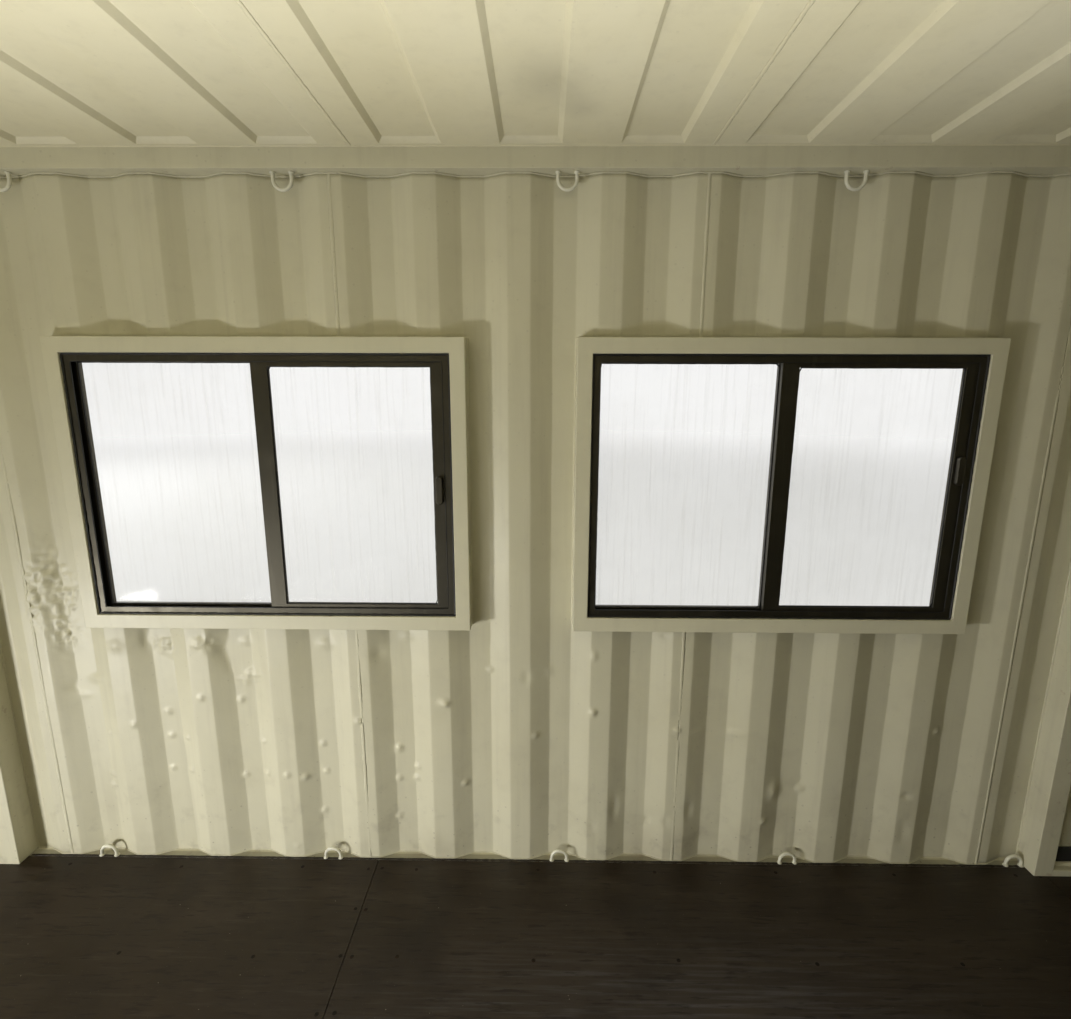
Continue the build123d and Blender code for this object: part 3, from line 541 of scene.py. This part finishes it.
# nicks where loads have caught the edges of the flats: one size and push, and their x and z
nick_size = (0.010, 0.009)
nick_push = -0.0072
nicks = [
    (-1.257, 0.741), (-1.256, 0.647), (-1.195, 0.644), (-1.266, 0.516), (-1.194, 0.515),
    (-1.477, 0.658), (-1.487, 0.493), (-1.495, 0.444), (-1.000, 0.492), (-0.918, 0.504),
    (-0.925, 0.630), (-0.837, 0.510), (-0.775, 0.497), (-0.711, 0.619), (-0.706, 0.509),
    (-0.724, 0.346), (-0.570, 0.726), (-0.435, 0.608), (-0.441, 0.484), (-0.370, 0.534),
    (-0.376, 0.486), (-0.447, 0.328), (-0.258, 0.795), (-0.199, 0.473), (-0.104, 0.915),
    (-1.367, 0.704), (-1.115, 0.810), (-0.990, 0.790), (0.253, 0.770), (0.550, 0.703),
    (0.055, 0.673), (1.464, 0.698), (0.880, 0.339),
]

# places of crumpled steel: x, z, half width, half height
crumples = [
    (-1.575, 1.105, 0.042, 0.100),
    (-1.600, 1.250, 0.048, 0.080),
    (-1.535, 1.190, 0.030, 0.070),
    (-1.560, 1.030, 0.050, 0.040),
    (-1.650, 1.160, 0.026, 0.080),
    (-1.240, 1.010, 0.040, 0.030),
    (-1.090, 1.015, 0.036, 0.026),
    (-0.950, 0.880, 0.040, 0.030),
]


def blank_sheet(name, start, stop, fine, coarse):
    """The flat sheet before pressing: columns gather at the bends, and every cut has its own line."""
    across = {round(start, 5), round(stop, 5)}
    half = inner_flat / 2
    bends = [-half, half, half + wall_slope, wall_pitch - half - wall_slope, wall_pitch - half]
    for turn in range(int(start // wall_pitch) - 1, int(stop // wall_pitch) + 2):
        for one, other in zip(bends, bends[1:]):
            low, high = one + bend_half, other - bend_half
            steps = [low + (high - low) * k / flat_columns for k in range(flat_columns + 1)]
            across |= {round(turn * wall_pitch + x, 5) for x in [one] + steps}
    up = set()
    for low, high, row in ((wall_foot_z, dented_to_z, fine), (dented_to_z, wall_top_z, coarse)):
        count = round((high - low) / row)
        up |= {round(low + (high - low) * k / count, 5) for k in range(count + 1)}
    cuts_x, cuts_z = set(), set()
    for centre_x, centre_z, width, height in window_openings + doorway_openings:
        if start - width / 2 < centre_x < stop + width / 2:
            cuts_x |= {round(centre_x + side * width / 2, 5) for side in (-1, 1)}
            cuts_z |= {round(centre_z + side * height / 2, 5) for side in (-1, 1)}
    # columns and rows that run close beside a cut give way to it
    close_x, close_z = 0.0012, 0.004
    cuts_x = {x for x in cuts_x if start < x < stop}
    cuts_z = {z for z in cuts_z if z > wall_foot_z + close_z}
    across = {x for x in across if start <= x <= stop and all(abs(x - c) > close_x for c in cuts_x)}
    up = {z for z in up if all(abs(z - c) > close_z for c in cuts_z)}
    across, up = sorted(across | cuts_x), sorted(up | cuts_z)
    points = [(x, 0.0, z) for z in up for x in across]
    wide = len(across)
    faces = [
        (row * wide + k, row * wide + k + 1, (row + 1) * wide + k + 1, (row + 1) * wide + k)
        for row in range(len(up) - 1)
        for k in range(wide - 1)
    ]
    mesh = bpy.data.meshes.new(name)
    mesh.from_pydata(points, [], faces)
    return mesh


def pressing_recipe():
    """Presses a flat sheet into the wall's profile, dents it, and cuts windows and doorways out."""
    tree = Recipe(
        "wall_pressing",
        Sheet="Geometry",
        Pitch="Float",
        Depth="Float",
        Bend="Float",
        Paint="Material",
    )
    size = tree.size
    spot = tree.node("GeometryNodeInputPosition")
    at = tree.node("ShaderNodeSeparateXYZ", None, {"Vector": spot})
    x, z = at, tree.sibling(at, "Z")
    slope = size["Pitch"] * 0.5 - (inner_flat + outer_flat) / 2
    rise = (x.math("PINGPONG", size["Pitch"] * 0.5) - inner_flat / 2) / slope * size["Depth"]
    rise = rise.math("SMOOTH_MAX", 0.0, size["Bend"]).math("SMOOTH_MIN", size["Depth"], size["Bend"])

    def noise(scale):
        values = {"Vector": spot, "Scale": scale, "Detail": 2.0}
        return tree.node("ShaderNodeTexNoise", None, values) - 0.5

    def swell(centre_x, centre_z, half_width, half_height):
        return hump((x - centre_x) / half_width, (z - centre_z) / half_height)

    # the sheet's own waves, then what loads have done to it
    push = noise(2.2) * 0.005 + noise(11.0) * 0.0016
    for *place, depth in dents:
        push = push + swell(*place) * depth
    for place in nicks:
        push = push + swell(*place, *nick_size) * nick_push
    folds = noise(50.0) * 0.040
    for place in crumples:
        push = push + swell(*place) * folds
    # the welded head and foot hold their shape, and no bulge reaches further into the room
    held, furthest_bulge = 0.05, 0.012
    edge = ((z - wall_foot_z) / held).clamped() * ((wall_top_z - z) / held).clamped()
    y = (rise + push * edge).clamped(-furthest_bulge, wall_depth) + wall_inner_y
    place = tree.node("ShaderNodeCombineXYZ", None, {0: x, 1: y, 2: z})
    pressed = tree.node(
        "GeometryNodeSetPosition", None, {"Geometry": size["Sheet"], "Position": place}
    )
    cut = None
    for centre_x, centre_z, width, height in window_openings + doorway_openings:
        beside = abs(x - centre_x) < width / 2
        above = abs(z - centre_z) < height / 2
        cut = beside * above if cut is None else cut + beside * above
    opened = tree.node(
        "GeometryNodeDeleteGeometry", {"domain": "FACE"}, {"Geometry": pressed, "Selection": cut}
    )
    return tree.ends(tree.painted(tree.real(opened), size["Paint"]))


wall_paint = shell_paint("wall_enamel", enamel, 0.55)
pressing = pressing_recipe()
wall_joints = [-2.851, -1.668, -0.556, 0.556, 1.668, 2.851]
panel_names = ["left_end", "left", "centre", "right", "right_end"]
for name, start, stop in zip(panel_names, wall_joints, wall_joints[1:]):
    # height of the rows of faces where the steel is dented, and above
    fine, coarse = (0.024, 0.030) if "end" in name else (0.0075, 0.016)
    sheet = bpy.data.objects.new(
        f"pressed_{name}_sheet", blank_sheet(f"{name}_sheet", start, stop, fine, coarse)
    )
    bpy.context.scene.collection.objects.link(sheet)
    pressing.drives(
        sheet, Pitch=wall_pitch, Depth=wall_depth, Bend=bend_softness, Paint=wall_paint
    )
    gauge = sheet.modifiers.new("gauge", "SOLIDIFY")
    gauge.thickness = wall_sheet
    gauge.offset = -1.0
    settled(sheet).data.shade_smooth()
    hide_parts(f"window_wall_{name}_panel")
    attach(sheet, "root")


# Welds of the shell: hand-laid beads of steel on the seams of the sheets, under the top rail,
# along the foot and round what is let into the wall, painted over. They wander and swell.
def bead_recipe():
    """Sweeps a rippled bead of uneven width along drawn lines, then flattens it by an axis."""
    tree = Recipe(
        "weld_bead",
        Lines="Geometry",
        Radius="Float",
        Ripple="Float",
        Step="Float",
        Flat="Vector",
        Paint="Material",
    )
    size = tree.size
    spot = tree.node("GeometryNodeInputPosition")

    def vector(operation, one, other):
        return tree.node("ShaderNodeVectorMath", {"operation": operation}, {0: one, 1: other})

    def noise(scale, detail, out=0):
        values = {"Vector": spot, "Scale": scale, "Detail": detail}
        return tree.node("ShaderNodeTexNoise", None, values, out)

    line = tree.node("GeometryNodeMeshToCurve", None, {"Mesh": size["Lines"]})
    values = {"Curve": line, "Length": size["Step"]}
    line = tree.node("GeometryNodeResampleCurve", {"mode": "LENGTH"}, values)
    wave = vector("SUBTRACT", noise(55.0, 2.0, "Color"), (0.5, 0.5, 0.5))
    ripple = tree.node("ShaderNodeCombineXYZ", None, {k: size["Ripple"] for k in range(3)})
    wander = vector("MULTIPLY", wave, ripple)
    line = tree.node("GeometryNodeSetPosition", None, {"Geometry": line, "Offset": wander})
    swell = noise(120.0, 1.0) + 0.5
    ring = tree.node(
        "GeometryNodeCurvePrimitiveCircle", None, {"Resolution": 6, "Radius": size["Radius"]}
    )
    tube = tree.node(
        "GeometryNodeCurveToMesh",
        None,
        {"Curve": line, "Profile Curve": ring, "Scale": swell, "Fill Caps": True},
    )
    laid = tree.node(
        "GeometryNodeSetPosition",
        None,
        {"Geometry": tube, "Position": vector("MULTIPLY", spot, size["Flat"])},
    )
    return tree.ends(tree.painted(tree.real(laid), size["Paint"]))


beading = bead_recipe()


def bead(name, runs, radius, paint, ripple=0.002, step=0.005, flat=(1.0, 1.0, 1.0)):
    """A bead piece along open runs of points, or closed ones, which end on their first point.

    Flat is the share of the bead's thickness that is left along each axis.
    """
    points, edges = [], []
    for run in runs:
        closed = run[0] == run[-1]
        first = len(points)
        stops = run[:-1] if closed else run
        points += [tuple(c / f for c, f in zip(point, flat)) for point in stops]
        edges += [(k, k + 1) for k in range(first, len(points) - 1)]
        if closed:
            edges.append((len(points) - 1, first))
    mesh = bpy.data.meshes.new(name)
    mesh.from_pydata(points, edges, [])
    piece = bpy.data.objects.new(name, mesh)
    bpy.context.scene.collection.objects.link(piece)
    beading.drives(piece, Radius=radius, Ripple=ripple, Step=step, Flat=flat, Paint=paint)
    settled(piece).data.shade_smooth()
    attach(piece, "root")


def wall_rise(x):
    """How far the sheet stands off its inner flats at x."""
    from_inner = abs((x + wall_pitch / 2) % wall_pitch - wall_pitch / 2)
    return min(max((from_inner - inner_flat / 2) / wall_slope, 0.0), 1.0) * wall_depth


def profile_run(start, stop, z, gap, side=1):
    """Points along the corrugated sheet at one height, a gap off its inner face."""
    turns = range(int(start // wall_pitch) - 1, int(stop // wall_pitch) + 2)
    bends = [
        turn * wall_pitch + sign * reach
        for turn in turns
        for reach in (inner_flat / 2, inner_flat / 2 + wall_slope)
        for sign in (-1, 1)
    ]
    places = [start] + sorted(x for x in bends if start < x < stop) + [stop]
    return [(x, side * (wall_inner_y + wall_rise(x) + gap), z) for x in places]


seam_end_gap = 0.003
seams = []
for x in wall_joints[1:-1]:
    stretches = [(wall_foot_z, wall_top_z)]
    for centre_x, centre_z, width, height in window_openings:
        if abs(x - centre_x) < width / 2:
            window_low, window_high = centre_z - height / 2, centre_z + height / 2
            stretches = [(wall_foot_z, window_low), (window_high, wall_top_z)]
    for low, high in stretches:
        for y in (wall_inner_y, wall_inner_y + wall_sheet):
            seams.append([(x, y, low + seam_end_gap), (x, y, high - seam_end_gap)])
bead(
    "window_wall_seam_beads", seams, 0.0058, wall_paint, ripple=0.0014,
    step=0.006, flat=(1.0, 0.13, 1.0),
)
# a bead at the head runs from post to post, and one at the foot from doorway to doorway
weld_size = 0.0030
head_span = (-2.848, 2.848)
foot_span = (-1.818, 1.832)
head_z, foot_z = wall_top_z - 0.002, wall_foot_z + 0.002
inner_gap, outer_gap = -0.001, wall_sheet + 0.0012
head_gap = -0.0015
head_runs = [profile_run(*head_span, head_z, head_gap)]
foot_runs = [profile_run(*foot_span, foot_z, inner_gap)]
bead("wall_head_bead", head_runs, weld_size, wall_paint)
bead("wall_foot_bead", foot_runs, 0.0020, wall_paint, ripple=0.0025)
outer_runs = [
    profile_run(*head_span, head_z, outer_gap),
    profile_run(*foot_span, foot_z, outer_gap),
]
bead("wall_outer_beads", outer_runs, weld_size, wall_paint, step=0.007)
plain_runs = [
    profile_run(*head_span, z, gap, -1) for z in (foot_z, head_z) for gap in (inner_gap, outer_gap)
]
bead("plain_wall_beads", plain_runs, weld_size, wall_paint, step=0.009)


# Floor edge: black-brown sealant pressed into the joint between the floor sheets and the inner
# flats of both side walls, smoothed level with the floor.
def edge_sealant():
    sealant = Finish("floor_edge_sealant")
    dust = sealant.patches(24.0, 0.45, 0.72)
    tone = sealant.blend(dust * 0.5, (0.016, 0.011, 0.008), (0.055, 0.043, 0.032))
    return sealant.surface(Base_Color=tone, Roughness=0.6 + dust * 0.2)


sealant_y = 1.1765
sealant_z = floor_top_z + 0.0002
sealant_runs = [
    [(start, y, sealant_z), (stop, y, sealant_z)]
    for start, stop, y in ((-1.815, 1.829, sealant_y), (-2.84, 2.84, -sealant_y))
]
bead(
    "floor_edge_sealant", sealant_runs, 0.0045, edge_sealant(), ripple=0.0010,
    step=0.010, flat=(1.0, 1.0, 0.14),
)

# Plain side wall and blind end wall: corrugated sheets like the window wall's, but without
# openings, welded to the rails and posts round them and sprayed with the same enamel.
for node in ("plain_side_wall", "blind_end_wall"):
    rounded(node, 0.004, wall_paint, folded=True)

# Roof: five die-stamped steel sheets, welded edge to edge and to the rails. Their underside is
# painted as the walls are, and its paler, warmer tone and extra warm patches are painted light.
roof_paint = shell_paint(
    "ceiling_enamel_warm_lit",
    (0.72, 0.68, 0.51),
    0.35,
    warm_light=0.3,
    blotches=[(0.09, 0.85, 0.085, 0.20), (0.16, 0.95, 0.05, 0.12), (1.9, 0.9, 0.3, 0.10)],
)
# the stamped channels run on until just short of the rails
channel_end_y = (1.05, 1.10)
channel_growth = 0.062
for index in range(1, 6):
    sheet = rounded(f"roof_sheet_{index}", 0.0009, roof_paint)
    for corner in sheet.data.vertices:
        if channel_end_y[0] < abs(corner.co.y) < channel_end_y[1]:
            corner.co.y += math.copysign(channel_growth, corner.co.y)
    sheet.data.update()
roof_underside_z = 2.551
roof_sheet = 0.002
first_seam_x = -2.5455
roof_sheet_length = 1.033
roof_seams = [first_seam_x + roof_sheet_length * k for k in range(6)]
seam_reach = 1.150
seam_runs = [
    [(x, -seam_reach, z), (x, seam_reach, z)]
    for x in roof_seams
    for z in (roof_underside_z, roof_underside_z + roof_sheet)
]
bead(
    "roof_seam_beads", seam_runs, 0.0050, roof_paint, ripple=0.0016, step=0.007,
    flat=(1.0, 1.0, 0.28),
)
# one bead under the edge of the sheets, in the room, and one on it, outside
rail_runs = [
    [(x, side * y, roof_underside_z + lift) for x in head_span]
    for side in (-1, 1)
    for y, lift in ((1.1525, -0.0005), (1.1985, 0.0025))
]
bead("roof_edge_beads", rail_runs, 0.0022, roof_paint, ripple=0.0014, step=0.008)


# Window surrounds: two mitred frames of steel box section, set in the wall's cut-outs, welded
# to the sheets all round and painted a shade paler than the wall.
def opening_edges(centre_x, centre_z, width, height):
    """Left, right, foot and head of the weld round an opening, just clear of its edge."""
    clear = 0.001
    left, right = centre_x - width / 2 - clear, centre_x + width / 2 + clear
    return left, right, centre_z - height / 2 - clear, centre_z + height / 2 + clear


def upright_run(x, low, high):
    """Two points up the corrugated sheet at x, just off its inner face."""
    y = wall_inner_y + wall_rise(x) + inner_gap
    return [(x, y, low), (x, y, high)]


surround_paint = shell_paint("surround_enamel", (0.66, 0.635, 0.49), 0.30)
rounded("window_surrounds", 0.0025, surround_paint)
surround_runs = []
for opening in window_openings:
    left, right, low, high = opening_edges(*opening)
    surround_runs += [profile_run(left, right, z, inner_gap) for z in (low, high)]
    surround_runs += [upright_run(x, low, high) for x in (left, right)]
bead("surround_weld_beads", surround_runs, weld_size, surround_paint)


# Windows: black anodised aluminium frames with two tracks, a fixed pane in the outer one and
# a sliding sash in the inner one. Sand and dry water marks dull them.
def black_aluminium():
    metal = Finish("black_anodised_aluminium")
    dust = metal.patches(11.0, 0.50, 0.74)
    rub = metal.patches(55.0, 0.55, 0.80, at=metal.stretched(1.0, 1.0, 0.05))
    tone = metal.blend(dust * 0.25, (0.062, 0.057, 0.044), (0.12, 0.108, 0.085))
    tone = metal.blend(rub * 0.14, tone, (0.24, 0.22, 0.19))
    relief = metal.bump(metal.noise(300.0, 2.0, at=metal.stretched(1.0, 1.0, 0.1)), 0.0002, 0.4)
    return metal.surface(
        Base_Color=tone, Metallic=0.92, Roughness=(0.43 + dust * 0.15).clamped(), Normal=relief
    )


def black_seal():
    seal = Finish("black_glazing_rubber")
    chalk = seal.patches(30.0, 0.50, 0.75)
    tone = seal.blend(chalk * 0.3, (0.010, 0.010, 0.010), (0.05, 0.048, 0.045))
    return seal.surface(Base_Color=tone, Roughness=0.5 + chalk * 0.2)


anodised = black_aluminium()
glazing_rubber = black_seal()
for node in ("window_frames", "sliding_sashes"):
    rounded(node, 0.0012, anodised)
rounded("window_latches", 0.003, anodised)


def loop(centre_x, centre_z, width, height, y):
    """A closed upright rectangle of points."""
    left, right = centre_x - width / 2, centre_x + width / 2
    low, high = centre_z - height / 2, centre_z + height / 2
    corners = [(left, y, low), (right, y, low), (right, y, high), (left, y, high)]
    return corners + corners[:1]


# what runs round each window: its width, height and y, and how far the panes stand off centre
frame_seal = (1.1945, 0.8445, 1.1625)
track_brush = (1.1500, 0.8000, 1.1628)
fixed_gasket = (0.553, 0.796, 1.1893)
sliding_gasket = (0.504, 0.7707, 1.1722)
fixed_shift, sliding_shift = -0.2965, 0.286
frame_seals, pane_seals, sash_lips = [], [], []
for centre_x, centre_z, _, _ in window_openings:
    frame_seals.append(loop(centre_x, centre_z, *frame_seal))
    pane_seals.append(loop(centre_x + fixed_shift, centre_z, *fixed_gasket))
    pane_seals.append(loop(centre_x + sliding_shift, centre_z, *sliding_gasket))
    sash_lips.append(loop(centre_x, centre_z, *track_brush))
bead(
    "window_frame_sealant", frame_seals, 0.0040, glazing_rubber,
    ripple=0.0006, step=0.008,
)
bead("pane_gaskets", pane_seals, 0.0022, glazing_rubber, ripple=0.0, step=0.02)
bead("track_brush_seals", sash_lips, 0.0014, glazing_rubber, ripple=0.0, step=0.02)


# Panes: 5 mm clear float glass, held by the gaskets of the frames and sashes. Rain streaks,
# wiped dust and dried spray lie on them.
def streaked_glass():
    glass = Finish("streaked_window_glass")
    runs = glass.patches(30.0, 0.52, 0.80, at=glass.stretched(3.2, 1.0, 0.10))
    film = glass.patches(3.0, 0.40, 0.75)
    drops = glass.spots(120.0, 0.22)
    veil = 0.03 + runs * 0.09 + film * 0.05 + drops * 0.10
    return glass.surface(
        Base_Color=(0.78, 0.77, 0.74),
        Roughness=0.05 + runs * 0.1,
        Alpha=veil.clamped(0.0, 0.5),
        Specular_IOR_Level=0.5,
    )


pane_glass = streaked_glass()
for node in ("fixed_window_glass", "sliding_window_glass"):
    rounded(node, 0.0006, pane_glass)

# Doorways: frames of steel box section with a stop round the leaf, welded to the wall's sheets,
# and flush leaves of steel sheet that close against the stops.
for node, radius in (("doorway_frames", 0.003), ("door_leaves", 0.0025)):
    rounded(node, radius, frame_paint)
doorway_runs = []
for opening in doorway_openings:
    left, right, _, top = opening_edges(*opening)
    doorway_runs.append(profile_run(left, right, top, inner_gap))
    doorway_runs += [upright_run(x, wall_foot_z + seam_end_gap, top) for x in (left, right)]
bead("doorway_weld_beads", doorway_runs, weld_size, frame_paint)


# Door furniture: lever handles on roses and butt hinges, screwed to the leaves and frames.
# They are satin stainless steel, brushed, with a few dull stains.
def satin_steel():
    metal = Finish("satin_stainless_steel")
    lines = metal.noise(180.0, 3.0, at=metal.stretched(1.0, 1.0, 0.06))
    stain = metal.patches(22.0, 0.52, 0.72)
    tone = metal.blend(stain * 0.5, (0.50, 0.49, 0.47), (0.26, 0.23, 0.20))
    relief = metal.bump(lines, 0.0002, 0.4)
    return metal.surface(
        Base_Color=tone, Metallic=0.9, Roughness=(0.30 + stain * 0.25).clamped(), Normal=relief
    )


satin = satin_steel()
for node in ("door_handles", "door_hinges"):
    rounded(node, 0.0012, satin)

# Lashing rings: 11 mm steel bars bent to staples, both feet welded to the rails above and
# below the wall, and painted over.
# the ring enamel is paler than the wall's: a painted highlight on the staples
ring_lit_paint = shell_paint("ring_lit_enamel", (0.74, 0.73, 0.62), 0.35, chips=0.12)
for wall in ("window_wall", "plain_wall"):
    for level in ("upper", "lower"):
        rounded(f"{wall}_{level}_rings", 0.0, ring_lit_paint)
ring_places = {
    1: [-1.525, -0.691, 0.143, 0.977, 1.798],
    -1: [-2.359, -1.525, -0.691, 0.143, 0.977, 1.811],
}
leg_reach = 0.0275
leg_y = 1.179
weld_radius = 0.0062
weld_turns = [math.tau * k / 10 for k in range(10)]
leg_runs = []
for side, places in ring_places.items():
    for x in places:
        for leg_x in (x - leg_reach, x + leg_reach):
            for z in (foot_z, head_z):
                around = []
                for turn in weld_turns:
                    east, north = weld_radius * math.cos(turn), weld_radius * math.sin(turn)
                    around.append((leg_x + east, side * leg_y + north, z))
                leg_runs.append(around + around[:1])
bead("ring_weld_beads", leg_runs, weld_size, ring_lit_paint, ripple=0.003, step=0.003)

# Cargo doors: two framed steel leaves with pressed skins, hung on hinges and painted with their
# rod guides and cam keepers. Rods and handles are bare steel, and the leaves shut on a black
# rubber gasket.
for node, radius in (
    ("left_cargo_door", 0.0009),
    ("right_cargo_door", 0.0009),
    ("cargo_door_hinges", 0.002),
    ("cargo_rod_guides", 0.0015),
    ("cam_keepers", 0.003),
):
    rounded(node, radius, frame_paint)
for node, radius in (("cargo_lock_rods", 0.002), ("cargo_lock_handles", 0.003)):
    rounded(node, radius, satin)


def rubber():
    seal = Finish("door_gasket_rubber")
    chalk = seal.patches(12.0, 0.48, 0.72)
    tone = seal.blend(chalk * 0.4, (0.016, 0.016, 0.017), (0.07, 0.068, 0.064))
    relief = seal.bump(seal.noise(140.0, 3.0), 0.0005, 0.5)
    return seal.surface(Base_Color=tone, Roughness=0.62 + chalk * 0.2, Normal=relief)


gasket_rubber = rubber()
for node in ("cargo_door_gasket", "door_sweeps"):
    rounded(node, 0.0015, gasket_rubber)

# Studio: a pale floor under the cabin, just below its castings, and an even pale sky. Small
# lamps stand in the closed room, and two large ones light the outside.
ground_reach = 40.0
ground_z = -0.002
ground_corners = [
    (side_x * ground_reach, side_y * ground_reach, ground_z)
    for side_x, side_y in ((-1, -1), (1, -1), (1, 1), (-1, 1))
]
ground = bpy.data.objects.new("studio_floor", bpy.data.meshes.new("studio_floor"))
ground.data.from_pydata(ground_corners, [], [(0, 1, 2, 3)])
bpy.context.scene.collection.objects.link(ground)
floor_finish = Finish("studio_floor")


def seen_share(tree):
    """1 for a ray of the camera, also by way of gloss or glass, and 0 for a ray of light."""
    path = tree.node("ShaderNodeLightPath", out="Is Camera Ray")
    glossy, through = tree.sibling(path, "Is Glossy Ray"), tree.sibling(path, "Is Transmission Ray")
    return (path + glossy + through).clamped()


# far from the cabin the floor runs out into the even sky
fade_start, fade_length = 6.0, 24.0
away = (floor_finish.x * floor_finish.x + floor_finish.y * floor_finish.y) ** 0.5
share = ((away - fade_start) / fade_length).clamped()
far = share * share * (3.0 - share * 2.0)
glow = floor_finish.blend(far, (0.16, 0.16, 0.158), (0.95, 0.95, 0.94))
glow = floor_finish.blend(seen_share(floor_finish), (0.0, 0.0, 0.0), glow)
ground.data.materials.append(
    floor_finish.surface(
        Base_Color=floor_finish.blend(far, (0.72, 0.72, 0.70), (0.0, 0.0, 0.0)),
        Roughness=0.9,
        Specular_IOR_Level=0.0,
        Emission_Color=glow,
        Emission_Strength=1.0,
    )
)

world = bpy.data.worlds.new("studio_sky")
bpy.context.scene.world = world
world.use_nodes = True
sky = Tree(world.node_tree)
world.node_tree.nodes.clear()
strength = 0.55 + seen_share(sky) * 0.40
light = sky.node("ShaderNodeBackground", None, {"Color": (1.0, 1.0, 0.99), "Strength": strength})
sky.node("ShaderNodeOutputWorld", None, {"Surface": light})


def lamp(name, place, toward, width, height, power, colour=(1.0, 1.0, 1.0), spread=180):
    """A soft rectangular lamp that the camera doesn't see."""
    data = bpy.data.lights.new(name, "AREA")
    data.shape = "RECTANGLE"
    data.size, data.size_y = width, height
    data.energy = power
    data.color = colour
    data.spread = math.radians(spread)
    made = bpy.data.objects.new(name, data)
    made.matrix_world = Matrix.Translation(place) @ (
        (Vector(toward) - Vector(place)).to_track_quat("-Z", "Y").to_matrix().to_4x4()
    )
    made.visible_camera = False
    bpy.context.scene.collection.objects.link(made)


# each lamp: its place, what it faces, width, height, watts, colour and spread in degrees
warm_white = (1.0, 0.99, 0.96)
lamp("inside_key", (-2.58, -0.42, 0.45), (-0.4, 1.18, 0.55), 0.25, 0.25, 21, warm_white, 130)
lamp("inside_low_side", (-1.45, -0.70, 0.42), (1.2, 1.18, 0.40), 1.1, 0.45, 8, warm_white, 110)
lamp("inside_uplight", (-0.7, -0.45, 0.90), (-0.3, -0.40, 2.55), 0.5, 0.25, 6, warm_white, 110)
lamp("inside_left_uplight", (-2.0, -0.50, 1.0), (-1.9, -0.45, 2.55), 0.5, 0.25, 11, warm_white, 110)
lamp("inside_near_uplight", (-0.2, 0.25, 0.90), (-0.2, 0.25, 2.55), 3.0, 0.4, 7, warm_white, 65)
lamp("outside_front", (-14.0, 11.0, 11.0), (0.0, 0.0, 1.0), 7.0, 7.0, 1500)
lamp("outside_back", (14.0, -11.0, 11.0), (0.0, 0.0, 1.0), 7.0, 7.0, 1300)

# Camera: where the photograph was taken, inside the cabin and about 1.7 m above its floor,
# looking a little down at the window wall. Its lens and centre are in the photograph's pixels.
photo_width, photo_height = 1071, 1019
focal_pixels = 550.77
centre_column, centre_row = 536.31, 499.33
view = bpy.data.cameras.new("photo_view")
view.sensor_fit = "HORIZONTAL"
view.sensor_width = 36.0
view.lens = focal_pixels / photo_width * view.sensor_width
view.shift_x = (photo_width / 2 - centre_column) / photo_width
view.shift_y = (centre_row - photo_height / 2) / photo_width
view.clip_start = 0.02
photographer = bpy.data.objects.new("photo_view", view)
stand = (0.073, -0.569, 1.853)
ahead = Vector((-0.010365, 0.982683, -0.185005)).normalized()
right = Vector((0.999934, 0.011096, 0.002920)).normalized()
up = right.cross(ahead).normalized()
right = ahead.cross(up).normalized()
photographer.matrix_world = Matrix(
    (
        (right.x, up.x, -ahead.x, stand[0]),
        (right.y, up.y, -ahead.y, stand[1]),
        (right.z, up.z, -ahead.z, stand[2]),
        (0, 0, 0, 1),
    )
)
bpy.context.scene.collection.objects.link(photographer)
bpy.context.scene.camera = photographer
bpy.context.scene.view_settings.view_transform = "Standard"
